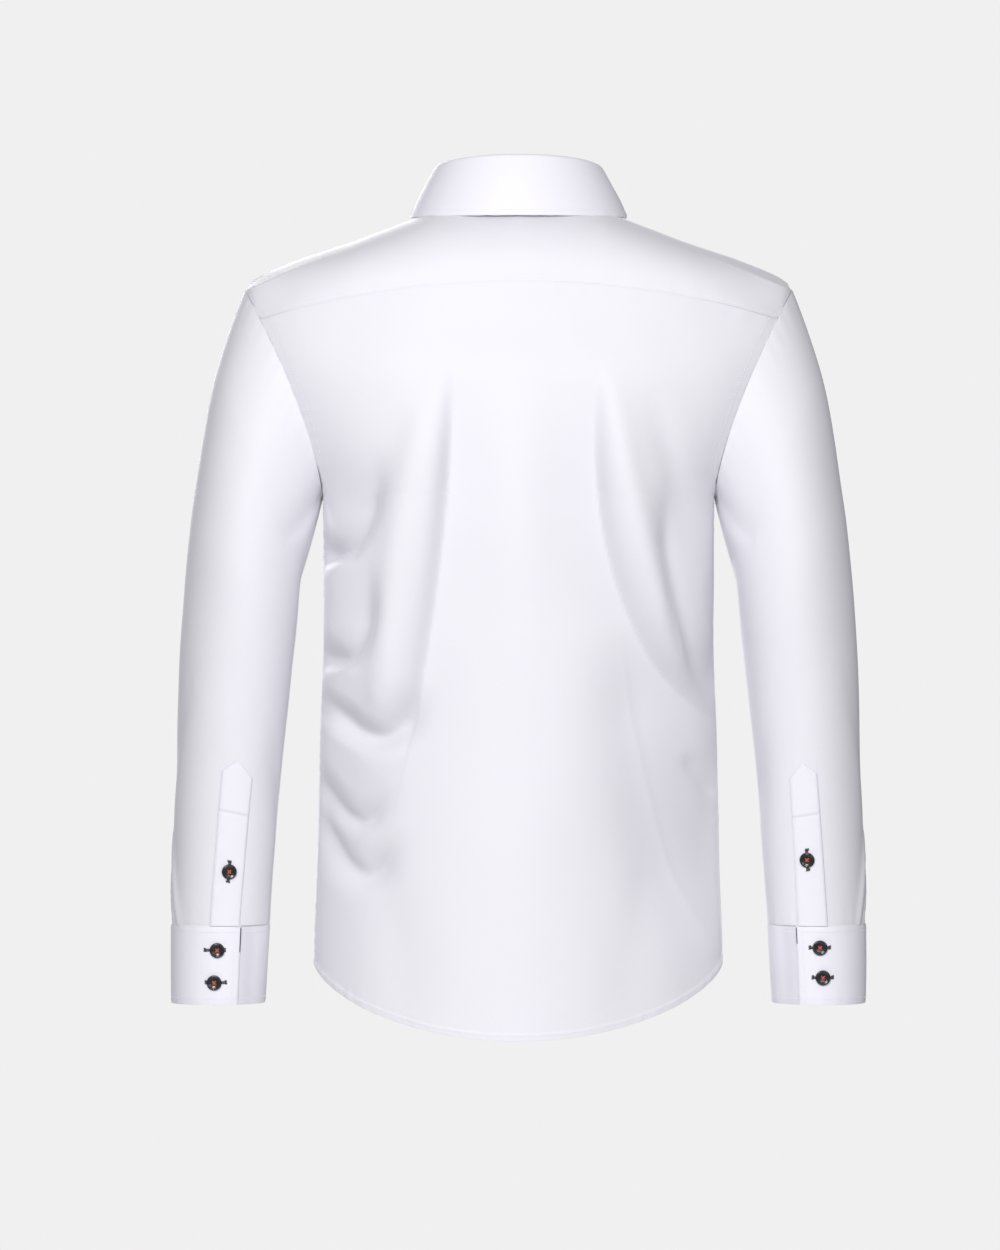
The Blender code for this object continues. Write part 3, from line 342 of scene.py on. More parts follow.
def puckered(grid, side, depth, pitch, reach, seed, closed=False):
    # small uneven waves along a sewn edge, dying away from it
    turned = {"bottom": grid, "top": grid[::-1], "left": grid.transpose(1, 0, 2),
              "right": grid[:, ::-1].transpose(1, 0, 2)}[side]
    away = np.cumsum(np.linalg.norm(np.diff(turned, axis=0, prepend=turned[:1]), axis=-1), axis=0)
    along = np.cumsum(np.linalg.norm(np.diff(turned[0], axis=0, prepend=turned[0][:1]), axis=-1))
    chance = np.random.default_rng(seed)
    wave = sum(np.sin(along * 2 * math.pi / (pitch * chance.uniform(0.7, 1.7)) + chance.uniform(0, 6.3))
               * chance.uniform(0.4, 1) for _ in range(5)) / 2.2
    push = depth * wave[None, :] * np.exp(-(away / reach) ** 1.5) * ease(away / (1.0 * mm) + 0.15)
    if closed:
        push = push * np.sin(math.pi * np.linspace(0, 1, push.shape[1]))[None, :] ** 0.2
    back = {"bottom": push, "top": push[::-1], "left": push.T, "right": push.T[:, ::-1]}[side]
    return grid + gridNormals(grid, closed) * back[..., None]


def puckeredBy(grid, rows):
    # each row: the edge, then depth, pitch and reach in mm, then the seed
    for side, depth, pitch, reach, seed in rows:
        grid = puckered(grid, side, depth * mm, pitch * mm, reach * mm, seed)
    return grid


def rippled(grid, depth, seed, closed=False):
    # slow waves of a few tenths of a millimetre, so that no panel is perfectly smooth
    chance = np.random.default_rng(seed)
    push = np.zeros(grid.shape[:2])
    for _ in range(9):
        way = chance.normal(size=3) * np.array([1.0, 0.6, 0.45])
        size = chance.uniform(35, 110) * mm
        push += np.sin(grid @ (unit(way) * 2 * math.pi / size) + chance.uniform(0, 6.3)) * size / (110 * mm)
    return grid + gridNormals(grid, closed) * (push * depth / 2.5)[..., None]


def insetLine(grid, side, distance, lift=0.05 * mm, closed=False):
    # the line a stated distance in from one edge of a panel, on its surface
    normals = gridNormals(grid, closed)
    turn = {"bottom": lambda g: g, "top": lambda g: g[::-1], "left": lambda g: g.transpose(1, 0, 2),
            "right": lambda g: g[:, ::-1].transpose(1, 0, 2)}[side]
    spots, outward = turn(grid), turn(normals)
    away = np.cumsum(np.linalg.norm(np.diff(spots, axis=0, prepend=spots[:1]), axis=-1), axis=0)
    line = []
    for j in range(spots.shape[1]):
        at = np.interp(distance, away[:, j], np.arange(len(away)))
        line.append(betweenColumns(spots[:, j], at) + betweenColumns(outward[:, j], at) * lift)
    return np.array(line)


def betweenColumns(row, at):
    return np.stack([np.interp(at, np.arange(len(row)), row[:, k]) for k in range(3)], axis=-1)


def onGrid(grid, row, column, lift=0.0):
    # the place at a fractional row and column of a panel, lifted off its surface
    row, column = np.clip(row, 0, len(grid) - 1.001), np.clip(column, 0, grid.shape[1] - 1.001)
    i, j = row.astype(int), column.astype(int)
    s, t = (row - i)[..., None], (column - j)[..., None]

    def read(field):
        return mix(mix(field[i, j], field[i, j + 1], t), mix(field[i + 1, j], field[i + 1, j + 1], t), s)
    return read(grid) + read(gridNormals(grid)) * lift


def backGrid():
    half, low, high = grain["bodyColumns"] // 2, grain["rowsLow"], grain["rowsHigh"]
    turn = np.linspace(0, 1, half + 1)[None, :] ** 1.2
    x = ringPoint(turn, np.full_like(turn, cut["hemSideZ"]), 1)[..., 0]
    rise = riseFromHem(low)
    lower = ringPoint(turn + 0 * rise, mix(hemHeight(x, 1), cut["armpit"][1], rise), 1)
    edge = armholePoint(cut["yokeBackAngle"])[2]
    top = np.full_like(turn, edge)
    for _ in range(6):
        top = np.where(turn > 0, shoulderFrame(ringPoint(turn, top, 1)[..., 0], 1)[0], edge)
    rise = np.linspace(0, 1, high + 1)[1:, None]
    upper = ringPoint(turn + 0 * rise, mix(cut["armpit"][1], top, rise), 1)
    left = np.concatenate([lower, upper])
    right = left * np.array([-1.0, 1.0, 1.0])
    return np.concatenate([left, right[:, ::-1][:, 1:]], axis=1)


def frontGrid():
    count, low, high = grain["frontColumns"], grain["rowsLow"], grain["rowsHigh"]
    share = np.linspace(0, 1, count + 1)
    corner = 8 / 11
    top = np.where((share > corner)[:, None],
                   neckPoint(mix(cut["neckSeamAngle"], -math.pi / 2, np.clip((share - corner) / (1 - corner), 0, 1))),
                   frontSeam(np.clip(1 - share / corner, 0, 1)))
    turn = share[None, :]
    x = ringPoint(turn, np.full_like(turn, cut["hemSideZ"]), -1)[..., 0]
    rise = riseFromHem(low)
    lower = ringPoint(turn + 0 * rise, mix(hemHeight(x, -1), cut["armpit"][1], rise), -1)
    rise = np.linspace(0, 1, high + 1)[1:, None]
    z = mix(cut["armpit"][1], top[None, :, 2], rise)
    edge = armholeAt(z, -1)
    ratioLow = lower[-1:, :, 0] / cut["armpit"][0]
    ratioTop = (top[:, 0] / armholeAt(top[:, 2], -1)[:, 0])[None, :]
    x = edge[..., 0] * mix(ratioLow, ratioTop, rise)
    upper = points(x, bodyDepth(x, z, -1), z)
    upper[:, 0] = edge[:, 0]
    upper[-1] = top
    return np.concatenate([lower, upper])[:, ::-1]


def yokeGrid():
    seam, neckCount, rows = grain["yokeSeam"], grain["yokeNeck"], grain["yokeRows"]
    footX = 90 * mm
    grid = []
    rise = np.linspace(0, 1, rows + 1)
    for j in range(seam + neckCount + 1):
        if j <= seam:
            share, side = j / seam, -1
            top = frontSeam(np.array(1 - share))
            foot = mix(cut["yokeSeamHalf"], footX, share)
        else:
            share = (j - seam) / neckCount
            top = neckPoint(mix(cut["neckSeamAngle"], math.pi / 2, share))
            side = 1 if top[1] > cut["ridgeY"] else -1
            foot = mix(footX, 0.0, share)
        turn = shoulderTurn(top[0], top[1], side)
        here = rise * (turn if side > 0 else 2 - turn)
        x = mix(foot, top[0], rise)
        behind, before = shoulderPoint(x, np.minimum(here, 1), 1), shoulderPoint(x, np.minimum(2 - here, 1), -1)
        grid.append(np.where((here <= 1)[:, None], behind, before))
    grid = np.array(grid).transpose(1, 0, 2)
    miss = armholePoint(mix(cut["yokeBackAngle"], cut["yokeFrontAngle"], rise)) - grid[:, 0]
    fade = 1 - ease(np.arange(25) / 25)
    grid[:, :25] += miss[:, None, :] * fade[None, :, None]
    right = grid * np.array([-1.0, 1.0, 1.0])
    return np.concatenate([grid, right[:, ::-1][:, 1:]], axis=1)


def sleevePoint(share, angle):
    outerZ, innerZ = mix(cut["shoulder"][1], cut["sleeveEndZ"], share), mix(cut["armpit"][1], cut["sleeveEndZ"], share)
    across = (1 + np.cos(angle)) / 2
    x = mix(innerX(innerZ), outerX(outerZ), across)
    y = limbForward(share) + limbDepth(share) * np.sin(angle)
    place = points(x, y, mix(innerZ, outerZ, across))
    return mix(place, armholePoint(angle + 0 * share), (1 - ease(share / 0.14))[..., None])


def cuffPoint(share, degrees, sink=0.0):
    z = mix(cut["sleeveEndZ"] - 0.15 * mm, cut["cuffEndZ"], share)
    angle = np.radians(degrees)
    x = cuffCurve["middle"](z) + (cuffCurve["half"](z) - sink) * np.cos(angle)
    return points(x, cuffCurve["forward"](z) + (cuffCurve["depth"](z) - sink) * np.sin(angle), z)


print("grids ready")


def meshFrom(name, verts, faces, uvs=None, material=None):
    mesh = bpy.data.meshes.new(name)
    mesh.from_pydata([tuple(v) for v in verts], [], faces)
    if uvs is not None:
        layer = mesh.uv_layers.new(name="cloth")
        loops = np.empty(len(mesh.loops), dtype=np.int32)
        mesh.loops.foreach_get("vertex_index", loops)
        layer.data.foreach_set("uv", np.asarray(uvs, dtype=np.float32)[loops].ravel())
    mesh.shade_smooth()
    mesh.set_sharp_from_angle(angle=math.radians(50))
    if material:
        mesh.materials.append(material)
    piece = bpy.data.objects.new(name, mesh)
    bpy.context.scene.collection.objects.link(piece)
    return piece


def shell(name, outer, thick, material, closed=False, inner=None, shade=None):
    # a thin closed wall: the outer grid, the same grid one thickness inside, and rims between them
    rows, columns = outer.shape[:2]
    if inner is None:
        inner = outer - gridNormals(outer, closed) * thick
    verts = np.concatenate([outer.reshape(-1, 3), inner.reshape(-1, 3)])
    across = np.linalg.norm(np.diff(outer, axis=1), axis=-1).mean(axis=0)
    along = np.linalg.norm(np.diff(outer, axis=0), axis=-1).mean(axis=1)
    u = np.concatenate([[0], np.cumsum(across)])[:columns]
    v = np.concatenate([[0], np.cumsum(along)])
    uv = np.stack(np.meshgrid(u, v), axis=-1).reshape(-1, 2)
    last = columns if closed else columns - 1
    i, j = np.meshgrid(np.arange(rows - 1), np.arange(last), indexing="ij")
    i, j = i.ravel(), j.ravel()
    a, b = i * columns + j, i * columns + (j + 1) % columns
    c, d = b + columns, a + columns
    under = rows * columns
    faces = [np.stack([a, b, c, d], 1), np.stack([d, c, b, a], 1) + under]
    j = np.arange(last)
    a, b = j, (j + 1) % columns
    faces.append(np.stack([b, a, a + under, b + under], 1))
    a, b = a + (rows - 1) * columns, b + (rows - 1) * columns
    faces.append(np.stack([a, b, b + under, a + under], 1))
    if not closed:
        i = np.arange(rows - 1)
        a, d = i * columns, (i + 1) * columns
        faces.append(np.stack([a, d, d + under, a + under], 1))
        a, d = a + columns - 1, d + columns - 1
        faces.append(np.stack([d, a, a + under, d + under], 1))
    faces = np.concatenate(faces)
    piece = meshFrom(name, verts, [tuple(int(k) for k in f) for f in faces], np.concatenate([uv, uv]), material)
    if shade is not None:
        layer = piece.data.attributes.new("shade", "FLOAT", "POINT")
        layer.data.foreach_set("value", np.concatenate([shade.ravel(), shade.ravel()]).astype(np.float32))
    return piece


def awayFrom(grid, side):
    # how far each place of a panel is from one of its edges
    turned = {"bottom": grid, "top": grid[::-1], "left": grid.transpose(1, 0, 2),
              "right": grid[:, ::-1].transpose(1, 0, 2)}[side]
    away = np.cumsum(np.linalg.norm(np.diff(turned, axis=0, prepend=turned[:1]), axis=-1), axis=0)
    return {"bottom": away, "top": away[::-1], "left": away.T, "right": away.T[:, ::-1]}[side]


def seamShade(grid, lines):
    # painted shade along seams and stitch lines, where the cloth dips: each line is an edge, a distance in from it, a
    # width and a strength
    shade = np.zeros(grid.shape[:2])
    for side, distance, wide, strength in lines:
        shade = np.maximum(shade, strength * np.exp(-((awayFrom(grid, side) - distance) / wide) ** 2))
    return shade


def sheetSize(outer, closed=False):
    # the flat cloth a grid would need: its middle width and height, and its area
    across = np.linalg.norm(np.diff(outer, axis=1), axis=-1)
    width = across.sum(axis=1)
    if closed:
        width = width + np.linalg.norm(outer[:, 0] - outer[:, -1], axis=-1)
    height = np.linalg.norm(np.diff(outer, axis=0), axis=-1).sum(axis=0)
    a, b = outer[1:, 1:] - outer[:-1, :-1], outer[1:, :-1] - outer[:-1, 1:]
    area = float(np.linalg.norm(np.cross(a, b), axis=-1).sum() / 2)
    if closed:
        area *= outer.shape[1] / (outer.shape[1] - 1)
    return (float(width.max()), float(height.max())), area


class Socket:
    # one shader socket, so that shader maths reads as maths
    def __init__(self, tree, socket=None):
        self.tree, self.socket = tree, socket

    def make(self, kind, inputs=(), output=0, **settings):
        node = self.tree.nodes.new(kind)
        for key, value in settings.items():
            setattr(node, key, value)
        for key, value in dict(inputs).items():
            if isinstance(value, Socket):
                self.tree.links.new(value.socket, node.inputs[key])
            else:
                node.inputs[key].default_value = value
        return Socket(self.tree, node.outputs[output])

    def maths(self, kind, *terms):
        return self.make("ShaderNodeMath", enumerate(terms), operation=kind)

    def __add__(self, other):
        return self.maths("ADD", self, other)

    def __radd__(self, other):
        return self.maths("ADD", other, self)

    def __mul__(self, other):
        return self.maths("MULTIPLY", self, other)

    def __rmul__(self, other):
        return self.maths("MULTIPLY", other, self)


def startMaterial(name, **constants):
    material = bpy.data.materials.new(name)
    material.use_nodes = True
    shader = material.node_tree.nodes["Principled BSDF"]
    for key, value in constants.items():
        shader.inputs[key.replace("_", " ")].default_value = value
    return material, Socket(material.node_tree), shader


def joinShader(material, shader, **varying):
    for key, value in varying.items():
        material.node_tree.links.new(value.socket, shader.inputs[key.replace("_", " ")])


# shadow: the colour that the painted shade mixes towards
cottonLook = dict(bright=(0.828, 0.822, 0.868, 1), dull=(0.798, 0.792, 0.843, 1), roughness=0.5, sheen=0.25,
                  weavePitch=0.0009, weaveDepth=0.00004, slubSize=420.0,
                  shadow=(0.50, 0.49, 0.55, 1))


# the bands are a little whiter: partly as denser cloth with an interlining is, partly painted light for the extra light
# the bands catch
bandLook = dict(cottonLook, bright=(0.872, 0.862, 0.925, 1), dull=(0.848, 0.838, 0.905, 1), weavePitch=0.0007)


def cottonMaterial(name="cotton", look=cottonLook):
    material, start, shader = startMaterial(name, Sheen_Weight=look["sheen"], Sheen_Roughness=0.45,
                                            Specular_IOR_Level=0.35)
    place = start.make("ShaderNodeTexCoord", output="Object")
    cloth = start.make("ShaderNodeUVMap", uv_map="cloth")
    cloudy = start.make("ShaderNodeTexNoise", {"Vector": place, "Scale": 7.0, "Detail": 3.0}, output="Fac")
    slub = start.make("ShaderNodeTexNoise", {"Vector": place, "Scale": look["slubSize"], "Detail": 2.0},
                      output="Fac")
    blend = cloudy * 0.5 + slub * 0.5
    # the shade attribute is painted shade: it mixes the cloth's colour towards the shadow colour
    shade = start.make("ShaderNodeAttribute", output="Fac", attribute_name="shade")
    colour = mixColour(start, blend, look["dull"], look["bright"])
    colour = mixColour(start, shade, colour, look["shadow"])
    split = start.make("ShaderNodeSeparateXYZ", {"Vector": cloth}, output="X")
    other = start.make("ShaderNodeSeparateXYZ", {"Vector": cloth}, output="Y")
    turns = 2 * math.pi / look["weavePitch"]
    weave = start.maths("SINE", split * turns) * start.maths("SINE", other * turns)
    height = weave * look["weaveDepth"] + slub * 0.00012
    normal = start.make("ShaderNodeBump", {"Height": height, "Strength": 0.35, "Distance": 1.0}, output="Normal")
    joinShader(material, shader, Base_Color=colour, Roughness=look["roughness"] + slub * 0.12, Normal=normal)
    return material


def mixColour(start, factor, a, b):
    return start.make("ShaderNodeMix", {0: factor, 6: a, 7: b}, output=2, data_type="RGBA")


def floorMaterial():
    material, start, shader = startMaterial("floorPaper", Specular_IOR_Level=0.2)
    place = start.make("ShaderNodeTexCoord", output="Object")
    fibre = start.make("ShaderNodeTexNoise", {"Vector": place, "Scale": 60.0, "Detail": 4.0}, output="Fac")
    joinShader(material, shader, Base_Color=mixColour(start, fibre, (0.80, 0.80, 0.80, 1), (0.84, 0.84, 0.84, 1)),
               Roughness=0.7 + fibre * 0.15)
    return material


def plasticMaterial(name, colour, other, roughness):
    material, start, shader = startMaterial(name, Specular_IOR_Level=0.6)
    place = start.make("ShaderNodeTexCoord", output="Object")
    swirl = start.make("ShaderNodeTexNoise", {"Vector": place, "Scale": 260.0, "Detail": 3.0}, output="Fac")
    joinShader(material, shader, Base_Color=mixColour(start, swirl, colour, other),
               Roughness=roughness + swirl * 0.08)
    return material


def threadMaterial(name, colour, other):
    material, start, shader = startMaterial(name, Sheen_Weight=0.3)
    place = start.make("ShaderNodeTexCoord", output="Object")
    fuzz = start.make("ShaderNodeTexNoise", {"Vector": place, "Scale": 900.0, "Detail": 2.0}, output="Fac")
    joinShader(material, shader, Base_Color=mixColour(start, fuzz, colour, other), Roughness=0.5 + fuzz * 0.3)
    return material


cotton = cottonMaterial()
bandCotton = cottonMaterial("cottonBand", bandLook)
black = plasticMaterial("buttonBlack", (0.010, 0.010, 0.012, 1), (0.022, 0.021, 0.024, 1), 0.16)
whiteThread = threadMaterial("threadWhite", (0.84, 0.845, 0.885, 1), (0.93, 0.93, 0.96, 1))
blackThread = threadMaterial("threadBlack", (0.012, 0.012, 0.015, 1), (0.04, 0.04, 0.045, 1))
redThread = threadMaterial("threadRed", (0.55, 0.05, 0.03, 1), (0.75, 0.12, 0.05, 1))
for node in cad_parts.values():
    node.data.materials.clear()
    node.data.materials.append(black if node.name.startswith("button") else cotton)
print("materials ready")

# walls and folds of all the cloth, with the strength of the painted shade in the folds
shirt = dict(foldShade=0.34, cloth=1.2 * mm, band=1.6 * mm, collar=1.8 * mm, gap=0.3 * mm)


def closeSides(grid, inner, column):
    # rims along the armhole face its middle, and below it they face straight along the side seam
    side = np.where(grid[:, column, 0] > 0, 1.0, -1.0)
    flip = np.stack([side, np.ones_like(side), np.ones_like(side)], axis=-1)
    high = grid[:, column, 2] > cut["armpit"][1] + 0.5 * mm
    toMiddle = cutDirection(grid[:, column] * flip) * flip
    straight = np.stack([-side, 0 * side, 0 * side], axis=-1)
    inner[:, column] = grid[:, column] + np.where(high[:, None], toMiddle, straight) * shirt["cloth"]


def rounder(grid):
    share = np.clip(np.abs(grid[..., 0]) / bodyHalf(grid[..., 2]), 0, 0.995)
    wanted = np.where(grid[..., 0] > 0, backRound["left"], backRound["right"])
    power = mix(2.4, wanted, ease((backRound["start"] - grid[..., 2]) / backRound["over"]))
    ratio = (1 - share ** power) ** (1 / power) / (1 - share ** 2.4) ** (1 / 2.4)
    return grid * np.stack([np.ones_like(ratio), ratio, np.ones_like(ratio)], axis=-1)


def calmArmpit(grid, side, over=22 * mm, reach=16 * mm):
    # the ring of the solid widens suddenly above the armpit, the cloth over a few centimetres
    x, y, z = np.moveaxis(grid, -1, 0)
    around = np.mean([ringDepth(x, z + step * reach, side) for step in np.linspace(-1, 1, 9)], axis=0)
    level = np.exp(-((z - cut["armpit"][1]) / over) ** 2) * (1 - np.exp(-(y / (25 * mm)) ** 2))
    return points(x, y + (around - ringDepth(x, z, side)) * level, z)


plainBack = calmArmpit(rounder(backGrid()), 1)
backOuter = hemRaised(rippled(folded(plainBack, backFolds + tailFolds, backCreases), 0.35 * mm, 3))
backOuter = puckeredBy(backOuter, [("left", 0.35, 13, 16, 11), ("right", 0.35, 13, 16, 12),
                                   ("bottom", 0.2, 11, 9, 13), ("top", 0.25, 16, 12, 14)])
inner = backOuter - gridNormals(backOuter) * shirt["cloth"]
closeSides(backOuter, inner, 0)
closeSides(backOuter, inner, -1)
# painted shade along the back's armhole stitching, its hem stitching and its top edge under the yoke
shade = seamShade(backOuter, [("left", 9.5 * mm, 1.6 * mm, 0.10), ("right", 9.5 * mm, 1.6 * mm, 0.10),
                              ("bottom", 4.4 * mm, 1.0 * mm, 0.12), ("top", 0, 1.6 * mm, 0.12)])
# painted shade in the creases, on their steep sides
shade = np.maximum(shade, shirt["foldShade"] * creasePush(plainBack[..., 0], plainBack[..., 2], backCreases)[1])
back = shell("backPanel", backOuter, shirt["cloth"], cotton, inner=inner, shade=shade)

plainFront = calmArmpit(frontGrid(), -1)
yokeOuter = puckered(rippled(yokeGrid(), 0.25 * mm, 5), "bottom", 0.22 * mm, 16 * mm, 9 * mm, 15)
fromEnd = np.minimum(np.arange(yokeOuter.shape[1]), np.arange(yokeOuter.shape[1])[::-1])
lapSize = (1.0 + 2.2 * np.exp(-(fromEnd / 10.0) ** 2))[:, None] * mm
lap = unit(yokeOuter[0] - yokeOuter[1]) * lapSize + gridNormals(yokeOuter)[0] * 0.35 * mm
inner = yokeOuter - gridNormals(yokeOuter) * shirt["cloth"]
closeSides(yokeOuter, inner, 0)
closeSides(yokeOuter, inner, -1)
lapped = yokeOuter.copy()
lapped[0, 1:-1] += lap[1:-1]
# painted shade along the yoke's armhole stitching
shade = seamShade(yokeOuter, [("left", 9.5 * mm, 1.6 * mm, 0.08), ("right", 9.5 * mm, 1.6 * mm, 0.08)])
yoke = shell("yokePanel", lapped, shirt["cloth"], cotton, inner=inner, shade=shade)
print("body panels made")


# the placket and the strips of the fronts under it
placketForm = dict(left=-15 * mm, right=19 * mm, columns=18, clear=21 * mm, sunk=1.68 * mm, lift=0.45 * mm)


def withStrip(grid):
    # the part of a front that runs under or over the middle, then the rest of it
    x = np.linspace(placketForm["left"], placketForm["right"], placketForm["columns"])
    rows = []
    for row in grid:
        strip = points(x, np.interp(np.abs(x), row[:, 0], row[:, 1]), np.interp(np.abs(x), row[:, 0], row[:, 2]))
        start = np.interp(placketForm["clear"], row[:, 0], np.arange(len(row)))
        rest = betweenColumns(row, np.linspace(start, len(row) - 1, len(row) - 10))
        rows.append(np.concatenate([strip, rest]))
    rows = np.array(rows)
    top = neckPoint(-np.arccos(np.abs(x) / cut["neckHalf"]))
    rows[-1, :len(x)] = top * np.stack([np.where(x < 0, -1.0, 1.0), np.ones_like(x), np.ones_like(x)], axis=-1)
    return rows


leftOuter = hemRaised(rippled(withStrip(folded(plainFront, frontFolds)), 0.35 * mm, 7))
rightOuter = hemRaised(rippled(withStrip(flipped(folded(flipped(plainFront), frontFolds))), 0.35 * mm, 8))
leftOuter = puckeredBy(leftOuter, [("right", 0.35, 13, 16, 21), ("bottom", 0.3, 9, 9, 22)])
rightOuter = puckeredBy(rightOuter, [("right", 0.35, 13, 16, 23), ("bottom", 0.3, 9, 9, 24)])
sink = gridNormals(rightOuter)[:, :placketForm["columns"]] * placketForm["sunk"]
fade = 1 - ease((np.arange(placketForm["columns"]) - placketForm["columns"] + 4) / 4)
rightOuter[:, :placketForm["columns"]] -= sink * fade[None, :, None]
shells = []
for outer, name in ((leftOuter, "frontLeftPanel"), (rightOuter, "frontRightPanel")):
    inner = outer - gridNormals(outer) * shirt["cloth"]
    closeSides(outer, inner, -1)
    if "Right" in name:
        outer, inner = flipped(outer), flipped(inner)
    shells.append(shell(name, outer, shirt["cloth"], cotton, inner=inner))
leftFront, rightFront = shells

strip = leftOuter[:-1, :placketForm["columns"]]
lifted = gridNormals(leftOuter)[:-1, :placketForm["columns"]]
placketOuter = strip + lifted * (placketForm["lift"] + shirt["band"])
placket = shell("placketBand", placketOuter, shirt["band"], bandCotton, inner=strip + lifted * placketForm["lift"])
print("fronts made")

# each sleeve fold: share and degrees at both ends, width on its sharp and soft side in mm, depth in mm
sleeveFolds = [
    (0.30, -40, 0.44, -118, 8, 16, 3.4), (0.42, -28, 0.52, -120, 7, 15, 3.6), (0.50, -60, 0.62, -140, 7, 14, 2.8),
    (0.04, 168, 0.17, 128, 5, 11, 2.6), (0.05, 196, 0.22, 236, 6, 12, 3.2), (0.16, 176, 0.34, 222, 7, 14, 2.6),
    (0.62, 40, 0.80, -4, 9, 18, 1.2), (0.58, 150, 0.74, 172, 8, 16, 1.4)]
cuffPleats = [(0.862, 4, 1.001, 33, 5, 2.2, -2.6), (0.90, 0, 1.001, 20, 4, 2.0, -2.2)]
sleeveScale = dict(around=48.0, down=460.0)


def limbFolded(grid, share, degrees, folds):
    push = np.zeros(grid.shape[:2])
    aroundScale, downScale = sleeveScale["around"] * math.pi / 180, sleeveScale["down"]
    for s0, a0, s1, a1, sharp, soft, depth in folds:
        turn = (degrees - (a0 + a1) / 2 + 180) % 360 - 180 + (a1 - a0) / 2
        x, y = turn * aroundScale, (share - s0) * downScale
        dx, dy = (a1 - a0) * aroundScale, (s1 - s0) * downScale
        size = math.hypot(dx, dy)
        t = np.clip((x * dx + y * dy) / size ** 2, 0, 1)
        apart = np.hypot(x - t * dx, y - t * dy)
        wide = np.where(x * dy - y * dx > 0, sharp, soft)
        push += depth * np.sin(math.pi * mix(0.08, 0.92, t)) ** 0.6 * np.exp(-(apart / wide) ** 2)
    return grid - gridNormals(grid, True) * (push * mm)[..., None]


shares = np.linspace(0, 1, grain["sleeveRows"] + 1)[:, None]
around = -360 * np.arange(grain["sleeveColumns"])[None, :] / grain["sleeveColumns"]
plainSleeve = sleevePoint(shares, np.radians(around))
headRim = plainSleeve[0] + cutDirection(plainSleeve[0]) * shirt["cloth"]

cuffDetail = dict(edge=117.5, sweep=392.0, sinkFrom=285.0, sinkOver=60.0, sinkGap=0.5 * mm,
                  columns=196, rows=28, underShade=0.34, shadeFrom=330, shadeOver=20)
turned = np.linspace(0, cuffDetail["sweep"], cuffDetail["columns"] + 1)[None, :]
under = ease((turned - cuffDetail["sinkFrom"]) / cuffDetail["sinkOver"]) * (shirt["band"] + cuffDetail["sinkGap"])
down = np.linspace(0, 1, cuffDetail["rows"] + 1)[:, None]
plainCuff = cuffPoint(down, cuffDetail["edge"] - turned + 0 * down, under)
# painted shade on the end of the cuff that laps under and lies a step lower
underShade = cuffDetail["underShade"] * ease((turned - cuffDetail["shadeFrom"]) / cuffDetail["shadeOver"]) + 0 * down

gauntletDetail = dict(
    top=dict(Left=(0.709, 88.0, 120.3), Right=(0.7165, 86.3, 115.5)), end=(0.9996, 80.6, 114.5), tip=0.027,
    level=dict(Left=0.0184, Right=0.019), rows=160, columns=24, tipRows=12,
    lift=0.66 * mm, crossDown=25 * mm)


def gauntletBase(sideName):
    rise = np.linspace(0, 1, gauntletDetail["rows"] + 1)[:, None]
    across = np.linspace(0, 1, gauntletDetail["columns"] + 1)[None, :]
    topShare, topLow, topHigh = gauntletDetail["top"][sideName]
    endShare, endLow, endHigh = gauntletDetail["end"]
    tipStart = 1 - gauntletDetail["tipRows"] / gauntletDetail["rows"]
    tip = gauntletDetail["tip"] * (1 - np.abs(2 * across - 1)) * np.clip((rise - tipStart) / (1 - tipStart), 0, 1)
    share = mix(endShare, topShare - gauntletDetail["level"][sideName] * across, rise) - tip
    return sleevePoint(share, np.radians(mix(mix(endLow, topLow, rise), mix(endHigh, topHigh, rise), across)))


def softEdged(grid, normals, sides, wide, drop):
    # a band's outline rounds off over its last millimetre
    fall = np.zeros(grid.shape[:2])
    for side in sides:
        fall = np.maximum(fall, 1 - ease(awayFrom(grid, side) / wide))
    return grid - normals * (fall * drop)[..., None]


